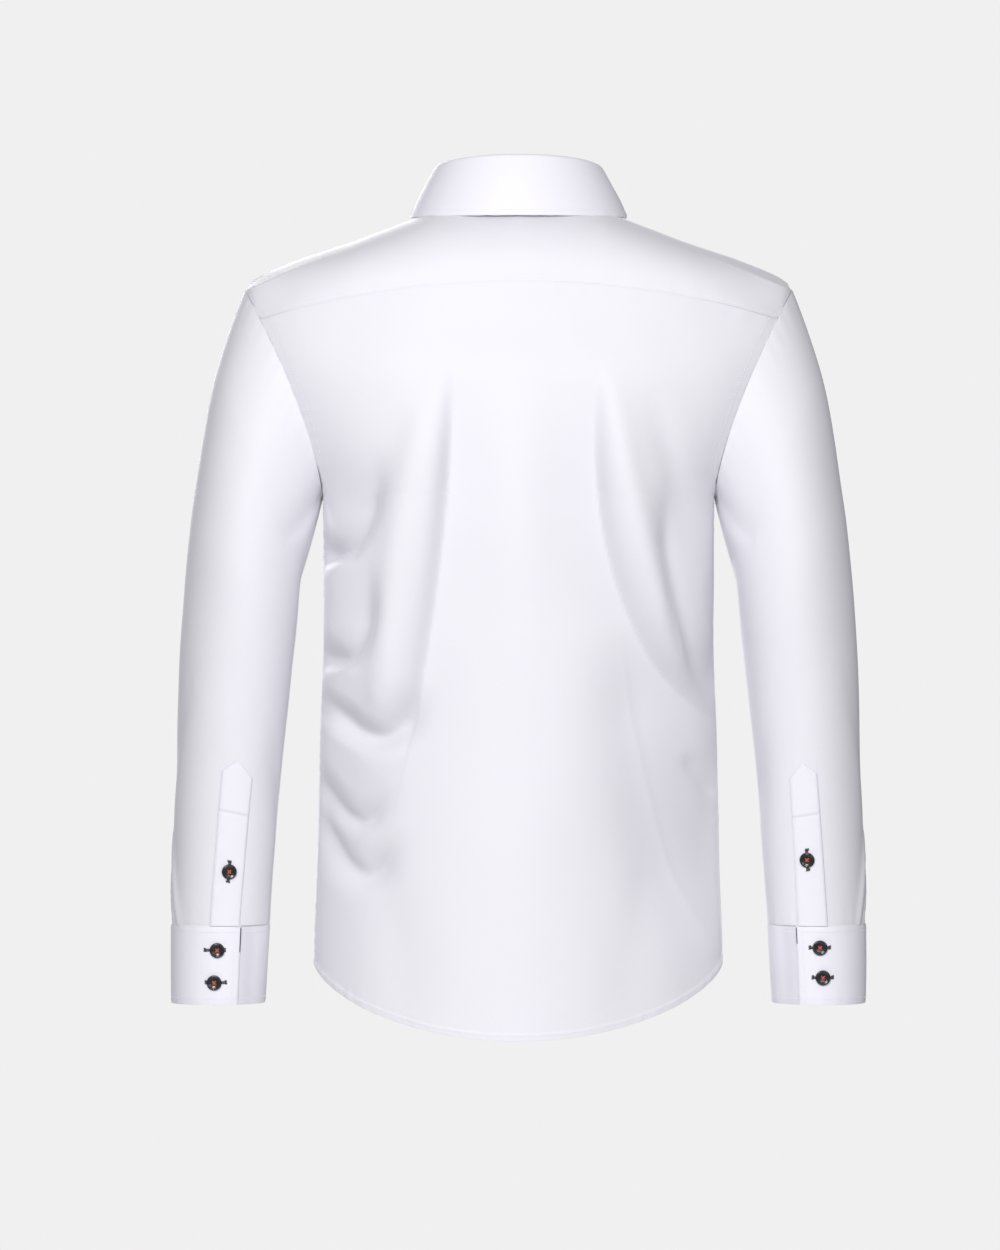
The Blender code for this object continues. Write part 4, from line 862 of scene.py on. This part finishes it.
limbs = {}
for sideName, turn, seed in (("Left", lambda grid: grid, 40), ("Right", flipped, 60)):
    outer = limbFolded(plainSleeve, shares, around, sleeveFolds + cuffPleats)
    outer = puckered(rippled(outer, 0.3 * mm, seed, True), "bottom", 0.4 * mm, 13 * mm, 15 * mm, seed + 1, True)
    outer = puckered(outer, "top", 0.35 * mm, 12 * mm, 9 * mm, seed + 2, True)
    outer[0] = plainSleeve[0]
    outer[-1, :, 2] = cut["sleeveEndZ"] - shirt["gap"] / 2
    inner = outer - gridNormals(outer, True) * shirt["cloth"]
    inner[0] = headRim
    # painted shade at the armhole seam and the cuff seam
    shade = seamShade(outer, [("bottom", 0, 1.5 * mm, 0.10), ("top", 0, 1.6 * mm, 0.10)])
    pieceName = "sleeve" + sideName
    limbs[pieceName + "Grid"] = outer
    limbs[pieceName] = shell(pieceName + "Tube", turn(outer), shirt["cloth"], cotton, True, turn(inner),
                             shade if sideName == "Left" else shade[:, ::-1])

    cuffOuter = puckered(plainCuff, "bottom", 0.18 * mm, 14 * mm, 9 * mm, seed + 3)
    cuffOuter = puckered(rippled(cuffOuter, 0.2 * mm, seed + 4), "top", 0.15 * mm, 16 * mm, 7 * mm, seed + 5)
    cuffInner = cuffOuter - gridNormals(cuffOuter) * shirt["band"]
    cuffSurface = softEdged(cuffOuter, gridNormals(cuffOuter), ("left", "bottom", "top"), 1.2 * mm, 0.5 * mm)
    # painted shade along the cuff's edges and stitch lines, and on its underlap
    shade = np.maximum(underShade, seamShade(cuffOuter, [
        ("left", 0, 0.8 * mm, 0.3), ("bottom", 0, 1.2 * mm, 0.12), ("left", 5.5 * mm, 0.7 * mm, 0.10),
        ("bottom", 5.5 * mm, 0.8 * mm, 0.10), ("top", 5.5 * mm, 0.8 * mm, 0.10)]))
    limbs["cuff" + sideName + "Grid"] = cuffSurface
    limbs["cuff" + sideName] = shell("cuff" + sideName + "Band", turn(cuffSurface), shirt["band"], bandCotton,
                                     inner=turn(cuffInner), shade=shade if sideName == "Left" else shade[:, ::-1])

    flatGauntlet = gauntletBase(sideName)
    gauntletOut = gridNormals(flatGauntlet)
    raised = flatGauntlet + gauntletOut * (gauntletDetail["lift"] + shirt["band"])
    raised = puckered(raised, "left", 0.16 * mm, 15 * mm, 6 * mm, seed + 6)
    raised = softEdged(raised, gauntletOut, ("left", "right", "top"), 1.0 * mm, 0.5 * mm)
    rowSize = np.linalg.norm(raised[1, 12] - raised[0, 12])
    crossRow = gauntletDetail["rows"] - gauntletDetail["tipRows"] - gauntletDetail["crossDown"] / rowSize
    fromCross = (np.arange(gauntletDetail["rows"] + 1)[:, None] - crossRow) * rowSize / mm
    raised = raised - gauntletOut * (0.35 * mm * np.exp(-(fromCross / 1.2) ** 2))[..., None]
    # painted shade in the groove of the cross stitch and along the strip's edges and stitch lines
    shade = 0.4 * np.exp(-(fromCross / 0.9) ** 2) + seamShade(raised, [
        ("left", 0, 0.9 * mm, 0.32), ("right", 0, 0.9 * mm, 0.32), ("top", 0, 1.0 * mm, 0.32),
        ("left", 2.0 * mm, 0.6 * mm, 0.12), ("right", 2.0 * mm, 0.6 * mm, 0.12)])
    limbs["gauntlet" + sideName + "Grid"] = raised
    limbs["gauntlet" + sideName] = shell(
        "gauntlet" + sideName + "Strip", turn(raised), shirt["band"], bandCotton,
        inner=turn(flatGauntlet + gauntletOut * gauntletDetail["lift"]),
        shade=shade if sideName == "Left" else shade[:, ::-1])
print("sleeves made")

# the stand and the leaf that folds over it, in mm
collarForm = dict(
    half=71.5, back=60, front=68, sideZ=37.4, backZ=47.0, frontZ=-33, leafBack=(75.5, -3.6), leafSide=(94.4, -0.6),
    leafPoint=(46, -99, -90), leafEnd=-80, standEnd=-99, columns=160, leafRows=36, standRows=16,
    lapFrom=244, lapOver=14, lapGap=0.6 * mm)


def standTop(degrees):
    angle = np.radians(degrees)
    up = np.sin(angle)
    reach = np.where(up > 0, collarForm["back"], collarForm["front"])
    above = mix(collarForm["sideZ"], collarForm["backZ"], np.maximum(up, 0) ** 0.8)
    below = mix(collarForm["sideZ"], collarForm["frontZ"], 1 - np.sqrt(np.maximum(1 - up * up, 0)) ** 1.1)
    return points(collarForm["half"] * np.cos(angle), reach * up, np.where(up > 0, above, below)) * mm


def leafEdge(degrees):
    angle = np.radians(degrees)
    up = np.sin(angle)
    backY, backZ = (v * mm for v in collarForm["leafBack"])
    sideX, sideZ = (v * mm for v in collarForm["leafSide"])
    behind = points(sideX * np.cos(angle), mix(cut["ridgeY"], backY, up), mix(sideZ, backZ, up))
    pointX, pointY, pointZ = (v * mm for v in collarForm["leafPoint"])
    share = np.maximum(degrees / collarForm["leafEnd"], 0)
    x, y = mix(sideX, pointX, share ** 1.6), mix(cut["ridgeY"], pointY, share ** 1.1)
    sideLift = sideZ - onShoulder(np.array(sideX), np.array(cut["ridgeY"]))[2]
    pointLift = pointZ - onShoulder(np.array(pointX), np.array(pointY))[2]
    before = points(x, y, onShoulder(x, y)[..., 2] + mix(sideLift, pointLift, share ** 0.4))
    return np.where((up >= 0)[..., None], behind, before)


degrees = np.linspace(collarForm["standEnd"], 180 - collarForm["standEnd"], collarForm["columns"] + 1)
foot = neckPoint(np.radians(degrees))
inward = unit(foot * np.array([-1.0, -1.0, 0.0]))
lift = (0.4 + np.maximum(-np.sin(np.radians(degrees)), 0)) * mm
foot = foot + inward * 1.3 * mm + points(0, 0, lift)
under = ease((degrees - collarForm["lapFrom"]) / collarForm["lapOver"]) * (shirt["band"] + collarForm["lapGap"])
rise = np.linspace(0, 1, collarForm["standRows"] + 1)[:, None, None]
standOuter = mix(foot[None], standTop(degrees)[None], rise) + (inward * under[:, None])[None]
stand = shell("collarStandBand", standOuter, shirt["band"], bandCotton)

halfCount = collarForm["columns"] // 2
own = np.linspace(collarForm["leafEnd"], 90, halfCount + 1)
top, edge = standTop(own), leafEdge(own)
out = unit((edge - top) * np.array([1.0, 1.0, 0.0]))
along = unit(standTop(own + 1) - standTop(own - 1))
up = unit(np.array([0.0, 0.0, 1.0]) - along * along[:, 2:3])
rollOver = [(-1.6, 2.5), (-0.5, 2.95), (0.8, 2.9), (1.95, 2.35), (2.8, 1.4)]
rows = [top + out * a * mm + up * b * mm for a, b in rollOver]
for share in np.linspace(0, 1, collarForm["leafRows"] + 1)[1:]:
    bow = np.sin(math.pi * share) * (1.2 + 2.4 * np.maximum(-np.sin(np.radians(own)), 0)) * mm
    rows.append(mix(rows[4], edge, share) + out * bow[:, None])
leafLeft = np.array(rows)
leafRight = leafLeft[:, ::-1][:, 1:] * np.array([-1.0, 1.0, 1.0])
leafOuter = np.concatenate([leafLeft, leafRight], axis=1)[:, ::-1]
leafOuter = puckered(leafOuter, "top", 0.15 * mm, 16 * mm, 7 * mm, 31)
# painted shade along the leaf's edge and its stitch line
shade = seamShade(leafOuter, [("top", 0, 0.9 * mm, 0.15), ("top", 4.5 * mm, 0.9 * mm, 0.06)])
leaf = shell("collarLeafFold", leafOuter, shirt["collar"], bandCotton, shade=shade)
print("collar made")


def geometryGroup(name, build, **inputs):
    # a node group whose named inputs build() turns into geometry
    group = bpy.data.node_groups.new(name, "GeometryNodeTree")
    keys = {label: group.interface.new_socket(label, in_out="INPUT", socket_type="NodeSocket" + kind).identifier
            for label, kind in inputs.items()}
    group.interface.new_socket("Geometry", in_out="OUTPUT", socket_type="NodeSocketGeometry")
    entry, leave = group.nodes.new("NodeGroupInput"), group.nodes.new("NodeGroupOutput")
    start = Socket(group)
    made = build(start, {label: Socket(group, entry.outputs[label]) for label in inputs})
    made = start.make("GeometryNodeSetShadeSmooth", {"Geometry": made})
    made = start.make("GeometryNodeRealizeInstances", {"Geometry": made})
    made = start.make("GeometryNodeSetMaterial",
                      {"Geometry": made, "Material": Socket(group, entry.outputs["Material"])})
    group.links.new(made.socket, leave.inputs["Geometry"])
    return group, keys


def stitchRun(start, given):
    # stitches spaced along a line, each a short thread with rounded ends
    line = start.make("GeometryNodeMeshToCurve", {"Mesh": given["Line"]})
    line = start.make("GeometryNodeResampleCurve", {"Curve": line, "Length": given["Spacing"]}, mode="LENGTH")
    grainOfRice = start.make("GeometryNodeMeshUVSphere", {"Segments": 6, "Rings": 4, "Radius": 1.0})
    turn = start.make("FunctionNodeAlignRotationToVector", {"Vector": start.make("GeometryNodeInputTangent")}, axis="Z")
    chance = start.make("FunctionNodeRandomValue", {2: 0.42, 3: 0.54, 8: given["Seed"]}, output=1, data_type="FLOAT")
    size = start.make("ShaderNodeCombineXYZ",
                      {"X": given["Radius"], "Y": given["Radius"], "Z": given["Length"] * chance})
    return start.make("GeometryNodeInstanceOnPoints",
                      {"Points": line, "Instance": grainOfRice, "Rotation": turn, "Scale": size})


def threadRun(start, given):
    # one round thread that follows a line
    line = start.make("GeometryNodeMeshToCurve", {"Mesh": given["Line"]})
    ringCurve = start.make("GeometryNodeCurvePrimitiveCircle", {"Resolution": 5, "Radius": given["Radius"]})
    return start.make("GeometryNodeCurveToMesh", {"Curve": line, "Profile Curve": ringCurve, "Fill Caps": True})


stitchGroup = geometryGroup("stitchRun", stitchRun, Line="Geometry", Spacing="Float", Length="Float",
                            Radius="Float", Seed="Int", Material="Material")
threadGroup = geometryGroup("threadRun", threadRun, Line="Geometry", Radius="Float", Material="Material")


def sewn(name, lines, group, slotName, **inputs):
    # one piece of thread work, from lines that lie on the cloth
    verts, edges = [], []
    for line in lines:
        edges += [(len(verts) + i, len(verts) + i + 1) for i in range(len(line) - 1)]
        verts += [tuple(spot) for spot in line]
    mesh = bpy.data.meshes.new(name)
    mesh.from_pydata(verts, edges, [])
    piece = bpy.data.objects.new(name, mesh)
    bpy.context.scene.collection.objects.link(piece)
    modifier = piece.modifiers.new("thread", "NODES")
    modifier.node_group = group[0]
    for label, value in inputs.items():
        modifier[group[1][label]] = value
    bpy.context.view_layer.update()
    made = bpy.data.meshes.new_from_object(piece.evaluated_get(bpy.context.evaluated_depsgraph_get()))
    piece.modifiers.clear()
    piece.data = made
    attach(piece, "root")
    return piece


stitchForm = dict(Spacing=2.8 * mm, Length=2.3 * mm, Radius=0.26 * mm, Seed=5, Material=whiteThread)
sunk = 0.1 * mm


def trimmed(line, start, end):
    # a line without a stated length at each end
    away = np.concatenate([[0], np.cumsum(np.linalg.norm(np.diff(line, axis=0), axis=-1))])
    keep = (away >= start) & (away <= away[-1] - end)
    return line[keep]


def mirrored(lines):
    return [line * np.array([-1.0, 1.0, 1.0]) for line in lines]


def aboveArmpit(line):
    return line[line[:, 2] > cut["armpit"][1] - 4 * mm]


def belowArmpit(line):
    return line[(line[:, 2] < cut["armpit"][1] + 2 * mm)]


seamForm = dict(armhole=9.5 * mm, edge=1.6 * mm, hem=4.4 * mm, felled=(1.5 * mm, 5.0 * mm), placket=5.0 * mm,
                collar=4.5 * mm, cuff=5.5 * mm, gauntlet=2.0 * mm)


def bodySides(grid, sides):
    lines = []
    for side in sides:
        lines.append(aboveArmpit(insetLine(grid, side, seamForm["armhole"], sunk)))
        lines += [trimmed(belowArmpit(insetLine(grid, side, distance, sunk)), seamForm["hem"], 0)
                  for distance in seamForm["felled"]]
    return lines


backStitches = sewn("backStitches", bodySides(backOuter, ("left", "right")) + [
    trimmed(insetLine(backOuter, "bottom", seamForm["hem"], sunk), 3 * mm, 3 * mm)],
    stitchGroup, "cotton", **stitchForm)
yokeStitches = sewn("yokeStitches", [
    trimmed(insetLine(yokeOuter, "bottom", seamForm["edge"], sunk), 2 * mm, 2 * mm),
    insetLine(yokeOuter, "left", seamForm["armhole"], sunk), insetLine(yokeOuter, "right", seamForm["armhole"], sunk),
    insetLine(yokeOuter, "top", seamForm["edge"], sunk)[2:grain["yokeSeam"]],
    insetLine(yokeOuter, "top", seamForm["edge"], sunk)[-grain["yokeSeam"]:-2]], stitchGroup, "cotton", **stitchForm)
frontStitches = []
for outer, name, turn in ((leftOuter, "frontLeftStitches", lambda lines: lines),
                          (rightOuter, "frontRightStitches", mirrored)):
    hemLine = trimmed(insetLine(outer, "bottom", seamForm["hem"], sunk), 24 * mm, 3 * mm)
    frontStitches.append(sewn(name, turn(bodySides(outer, ("right",)) + [hemLine]), stitchGroup, "cotton",
                              **stitchForm))
placketStitches = sewn("placketStitches", [
    trimmed(insetLine(placketOuter, side, seamForm["placket"], sunk), 2 * mm, 2 * mm) for side in ("left", "right")],
    stitchGroup, "cotton", **stitchForm)
collarStitches = sewn("collarStitches", [
    trimmed(insetLine(leafOuter, "top", seamForm["collar"], sunk), seamForm["collar"], seamForm["collar"])] + [
    trimmed(insetLine(leafOuter, side, seamForm["collar"], sunk), 6 * mm, seamForm["collar"])
    for side in ("left", "right")] + [
    trimmed(insetLine(standOuter, "bottom", seamForm["edge"], sunk), 3 * mm, 3 * mm)],
    stitchGroup, "cotton", **stitchForm)
limbStitches = {}
for sideName, turn in (("Left", lambda lines: lines), ("Right", mirrored)):
    sleeve, cuff, strap = (limbs[kind + sideName + "Grid"] for kind in ("sleeve", "cuff", "gauntlet"))
    columns, normals = sleeve.shape[1], gridNormals(sleeve, True)
    limbStitches["sleeve" + sideName] = sewn("sleeve" + sideName + "Stitches", turn([
        sleeve[:, columns // 2 + k] + normals[:, columns // 2 + k] * sunk for k in (-1, 1)]),
        stitchGroup, "cotton", **stitchForm)
    inset = seamForm["cuff"]
    limbStitches["cuff" + sideName] = sewn("cuff" + sideName + "Stitches", turn([
        trimmed(insetLine(cuff, "bottom", inset, sunk), inset, 0),
        trimmed(insetLine(cuff, "top", inset, sunk), inset, 0),
        trimmed(insetLine(cuff, "left", inset, sunk), inset, inset)]), stitchGroup, "cotton", **stitchForm)
    inset = seamForm["gauntlet"]
    rowSize = np.linalg.norm(strap[1, 12] - strap[0, 12])
    downRows = gauntletDetail["rows"] - gauntletDetail["tipRows"] - gauntletDetail["crossDown"] / rowSize
    crossing = np.linspace(1.5, gauntletDetail["columns"] - 1.5, 20)
    limbStitches["gauntlet" + sideName] = sewn("gauntlet" + sideName + "Stitches", turn([
        trimmed(insetLine(strap, "left", inset, sunk), 0, inset),
        trimmed(insetLine(strap, "right", inset, sunk), 0, inset),
        trimmed(insetLine(strap, "top", inset, sunk), inset, inset),
        onGrid(strap, downRows + 0 * crossing, crossing, sunk)]), stitchGroup, "cotton", **stitchForm)
print("stitches made")


holeForm = dict(half=10.0 * mm, cuffHalf=9.8 * mm, slit=0.25 * mm, wide=1.3 * mm, pitch=0.5 * mm, tackLong=2.0 * mm,
                tackWide=1.1 * mm, lift=0.2 * mm, radius=0.27 * mm,
                shift=dict(button_cuff_1_left=2.2 * mm, button_cuff_2_left=-1.3 * mm))


def buttonhole(grid, row, column, half, down, shift=0.0):
    # the zigzag of a buttonhole with a tack at each end, laid over a panel
    low, near = int(row), int(column)
    rowSize = np.linalg.norm(grid[low + 1, near] - grid[low, near])
    columnSize = np.linalg.norm(grid[low, near + 1] - grid[low, near])
    along, aside = [], []
    ends = half - holeForm["tackWide"]
    for sign in (1, -1):
        steps = np.arange(-ends, ends, holeForm["pitch"])[::sign]
        along.append(steps)
        aside.append(sign * np.where(np.arange(len(steps)) % 2, holeForm["slit"], holeForm["wide"]))
        tack = np.arange(-holeForm["tackLong"], holeForm["tackLong"], holeForm["pitch"])[::-sign]
        along.append(sign * (half + np.where(np.arange(len(tack)) % 2, 0, -2) * holeForm["tackWide"]))
        aside.append(tack)
    middleLine = np.linspace(-ends, ends, 12)
    along, aside = np.concatenate(along + [middleLine]) + shift, np.concatenate(aside + [0 * middleLine])
    legs = (np.arange(len(along) - 1)[:, None] + np.array([0, 0.12, 0.88])[None, :]).ravel()
    along, aside = (np.interp(legs, np.arange(len(v)), v) for v in (along, aside))
    if down:
        return onGrid(grid, row + along / rowSize, column + aside / columnSize, holeForm["lift"])
    return onGrid(grid, row + aside / rowSize, column + along / columnSize, holeForm["lift"])


def buttonPlace(name):
    # where the frame's plain button sits and which way it faces
    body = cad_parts[name]
    spots = np.array([body.matrix_world @ vertex.co for vertex in body.data.vertices])
    middle = (spots.min(axis=0) + spots.max(axis=0)) / 2
    ways = np.linalg.eigh(np.cov((spots - spots.mean(axis=0)).T))[1]
    facing = ways[:, 0] * (1 if (ways[1, 0] < 0) == ("front" in name) else -1)
    return middle, facing


def nearestOn(grid, spot):
    # the fractional row and column of a panel that lie nearest to a spot
    i, j = np.unravel_index(np.argmin(np.linalg.norm(grid - spot, axis=-1)), grid.shape[:2])
    i, j = min(max(i, 1), len(grid) - 2), min(max(j, 1), grid.shape[1] - 2)
    down, across = grid[i + 1, j] - grid[i - 1, j], grid[i, j + 1] - grid[i, j - 1]
    offset = spot - grid[i, j]
    return i + 2 * (offset @ down) / (down @ down), j + 2 * (offset @ across) / (across @ across)


buttonForm = dict(
    radius=(0, 5.0, 6.0, 6.4, 6.55, 6.45, 6.0, 5.5, 5.0, 4.4, 3.7, 0),
    height=(0, 0, 0.15, 0.55, 1.2, 1.9, 2.4, 2.6, 2.5, 2.15, 1.85, 1.75),
    sides=48, holeApart=1.25, holeRadius=0.72, thick=2.6,
    redRadius=0.30 * mm, redApart=0.22, redReach=1.15, redHigh=0.34)


def buttonMesh():
    # a turned disc with a raised rim, a dished middle and four holes
    sides = buttonForm["sides"]
    turn = np.linspace(0, 2 * math.pi, sides, endpoint=False)
    rings = [points(r * np.cos(turn), r * np.sin(turn), h) for r, h in zip(buttonForm["radius"], buttonForm["height"])]
    verts = np.concatenate([[[0, 0, buttonForm["height"][0]]]] + rings[1:-1] + [[[0, 0, buttonForm["height"][-1]]]])
    faces = []
    for k in range(len(rings) - 3):
        for j in range(sides):
            a, b = 1 + k * sides + j, 1 + k * sides + (j + 1) % sides
            faces.append((a, b, b + sides, a + sides))
    last = 1 + (len(rings) - 3) * sides
    for j in range(sides):
        faces.append((0, 1 + (j + 1) % sides, 1 + j))
        faces.append((last + j, last + (j + 1) % sides, last + sides))
    disc = meshFrom("disc", verts * mm, faces)
    holes = []
    for x, y in ((1, 1), (1, -1), (-1, 1), (-1, -1)):
        apart = buttonForm["holeApart"] * mm
        bpy.ops.mesh.primitive_cylinder_add(vertices=16, radius=buttonForm["holeRadius"] * mm, depth=10 * mm,
                                            location=(x * apart, y * apart, 0))
        holes.append(bpy.context.object)
    for hole in holes:
        modifier = disc.modifiers.new("hole", "BOOLEAN")
        modifier.operation, modifier.solver, modifier.object = "DIFFERENCE", "EXACT", hole
    bpy.context.view_layer.update()
    made = bpy.data.meshes.new_from_object(disc.evaluated_get(bpy.context.evaluated_depsgraph_get()))
    for extra in holes + [disc]:
        bpy.data.objects.remove(extra)
    return made


plainButton = buttonMesh()
buttonVerts = np.array([vertex.co for vertex in plainButton.vertices])
buttonNames = sorted(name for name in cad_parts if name.startswith("button_"))
redLines, blackLines = [], {}
for name in buttonNames:
    middle, facing = buttonPlace(name)
    upward = unit(np.array([0.0, 0.0, 1.0]) - facing * facing[2])
    sideways = np.cross(upward, facing)
    base = middle - facing * buttonForm["thick"] / 2 * mm

    def placed(spots):
        return base + spots[:, :1] * sideways + spots[:, 1:2] * upward + spots[:, 2:3] * facing
    mesh = plainButton.copy()
    mesh.vertices.foreach_set("co", placed(buttonVerts).astype(np.float32).ravel())
    mesh.materials.clear()
    mesh.materials.append(black)
    mesh.shade_smooth()
    mesh.set_sharp_from_angle(angle=math.radians(40))
    piece = bpy.data.objects.new(name.replace("button_", "disc_"), mesh)
    bpy.context.scene.collection.objects.link(piece)
    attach(piece, "root")
    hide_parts(name)
    apart, bed = buttonForm["holeApart"], buttonForm["height"][-1]
    for sign in (1, -1):
        for beside in (-buttonForm["redApart"], buttonForm["redApart"]):
            t = np.linspace(-buttonForm["redReach"], buttonForm["redReach"], 9)
            high = bed + buttonForm["redHigh"] - 1.6 * np.clip(np.abs(t) - 0.8, 0, 1) ** 1.2
            redLines.append(placed(np.stack([t * apart + beside, sign * t * apart + beside * -sign, high], 1) * mm))
print("buttons made")

standOverlap = 40
for name in buttonNames:
    middle, facing = buttonPlace(name)
    place = name.split("_")
    side = place[-1].capitalize()
    onStand = name == "button_front_1"
    if onStand:
        grid, half, down, shift = standOuter[:, :standOverlap], holeForm["half"], False, 0.0
        row, column = nearestOn(grid, middle)
    elif place[1] == "front":
        row, column = nearestOn(placketOuter, middle)
        grid, half, down, shift = placketOuter, holeForm["half"], True, 0.0
    else:
        spot = middle * np.array([1.0 if side == "Left" else -1.0, 1.0, 1.0])
        grid = limbs[place[1] + side + "Grid"]
        row, column = nearestOn(grid, spot)
        down = place[1] == "gauntlet"
        half = holeForm["half" if down else "cuffHalf"]
        shift = holeForm["shift"].get(name, 0.0)
    hole = buttonhole(grid, row, column, half, down, shift)
    if side == "Right":
        hole = hole * np.array([-1.0, 1.0, 1.0])
    key = "stand" if onStand else "placket" if place[1] == "front" else place[1] + side
    blackLines.setdefault(key, []).append(hole)
holePieces = {key: sewn(key + "Buttonholes", lines, threadGroup, "button", Radius=holeForm["radius"],
                        Material=blackThread) for key, lines in blackLines.items()}
redPiece = sewn("buttonThreads", redLines, threadGroup, "button", Radius=buttonForm["redRadius"],
                Material=redThread)

contrast = dict(Left=(0.04, 0.33), Right=(0.05, 0.2), inset=0.4 * mm, thread=dict(
    stitchForm, Spacing=1.5 * mm, Length=2.2 * mm, Radius=0.55 * mm, Material=blackThread))
contrastPieces = {}
for sideName, turn in (("Left", lambda lines: lines), ("Right", mirrored)):
    grid = limbs["cuff" + sideName + "Grid"]
    low, high = (int(round(share * (len(grid) - 1))) for share in contrast[sideName])
    line = insetLine(grid, "left", contrast["inset"], sunk)[low:high + 1]
    contrastPieces[sideName] = sewn("cuff" + sideName + "Contrast", turn([line]), stitchGroup, "button",
                                    **contrast["thread"])
print("buttonholes made")

# each cloth piece, its node, its flat grid, whether that is a tube, and the sewing that goes with it
sheets = [
    (back, "back", backOuter, False, [backStitches]), (leftFront, "front_left", leftOuter, False, frontStitches[:1]),
    (rightFront, "front_right", rightOuter, False, frontStitches[1:]),
    (yoke, "yoke", yokeOuter, False, [yokeStitches]),
    (placket, "placket", placketOuter, False, [placketStitches, holePieces["placket"], redPiece]),
    (stand, "collar_stand", standOuter, False, [holePieces["stand"]]),
    (leaf, "collar_leaf", leafOuter, False, [collarStitches])]
for sideName, tail in (("Left", "_left"), ("Right", "_right")):
    sheets += [
        (limbs["sleeve" + sideName], "sleeve" + tail, limbs["sleeve" + sideName + "Grid"], True,
         [limbStitches["sleeve" + sideName]]),
        (limbs["cuff" + sideName], "cuff" + tail, plainCuff, False,
         [limbStitches["cuff" + sideName], holePieces["cuff" + sideName], contrastPieces[sideName]]),
        (limbs["gauntlet" + sideName], "gauntlet" + tail, limbs["gauntlet" + sideName + "Grid"], False,
         [limbStitches["gauntlet" + sideName], holePieces["gauntlet" + sideName]])]
for piece, node, outer, closed, others in sheets:
    size, area = sheetSize(outer, closed)
    print(node, [round(v, 3) for v in size], round(area, 4))
    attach(piece, "root")
    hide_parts(node)

# floor, light and camera
studio = dict(
    floorRadius=0.46, floorThick=0.01, floorZ=-0.955, backdrop=(0.871, 0.871, 0.871, 1), glow=(0.96, 0.95, 1.0, 1),
    glowPower=0.30, cameraPlace=(0.0161, 5.0, -0.355), filmHeight=36, framed=1.0875,
    lamps=dict(keyLight=((0.55, 3.5, 0.75), (0, 0, -0.25), 1.2, 92),    # place, target, size in m, power in W
               frontFill=((-1.1, 3.0, 0.0), (0, 0, -0.35), 1.2, 16),
               farLight=((0.6, -3.0, 0.6), (0, 0, -0.35), 1.6, 80)))
bpy.ops.mesh.primitive_cylinder_add(radius=studio["floorRadius"], depth=studio["floorThick"], vertices=96,
                                    location=(0, 0, studio["floorZ"]))
floor = bpy.context.object
floor.name = "floorDisc"
floor.data.materials.append(floorMaterial())

world = bpy.data.worlds.new("studio")
bpy.context.scene.world = world
world.use_nodes = True
tree = world.node_tree
path = tree.nodes.new("ShaderNodeLightPath")
seen, lit = tree.nodes["Background"], tree.nodes.new("ShaderNodeBackground")
seen.inputs["Color"].default_value = studio["backdrop"]
lit.inputs["Color"].default_value = studio["glow"]
lit.inputs["Strength"].default_value = studio["glowPower"]
blend = tree.nodes.new("ShaderNodeMixShader")
tree.links.new(path.outputs["Is Camera Ray"], blend.inputs[0])
tree.links.new(lit.outputs[0], blend.inputs[1])
tree.links.new(seen.outputs[0], blend.inputs[2])
tree.links.new(blend.outputs[0], tree.nodes["World Output"].inputs["Surface"])


def areaLight(name, place, target, size, power):
    data = bpy.data.lights.new(name, "AREA")
    data.shape, data.size, data.energy = "DISK", size, power
    lamp = bpy.data.objects.new(name, data)
    lamp.location = place
    lamp.rotation_euler = (Vector(target) - Vector(place)).to_track_quat("-Z", "Y").to_euler()
    bpy.context.scene.collection.objects.link(lamp)


for name, (place, target, size, power) in studio["lamps"].items():
    areaLight(name, place, target, size, power)

cameraData = bpy.data.cameras.new("camera")
cameraData.sensor_fit, cameraData.sensor_height = "VERTICAL", studio["filmHeight"]
cameraData.lens = studio["filmHeight"] * studio["cameraPlace"][1] / studio["framed"]    # metres framed, top to bottom
camera = bpy.data.objects.new("camera", cameraData)
camera.location = studio["cameraPlace"]
camera.rotation_euler = (math.pi / 2, 0, math.pi)
bpy.context.scene.collection.objects.link(camera)
bpy.context.scene.camera = camera
bpy.context.scene.view_settings.view_transform = "Standard"
bpy.context.scene.view_settings.look = "None"
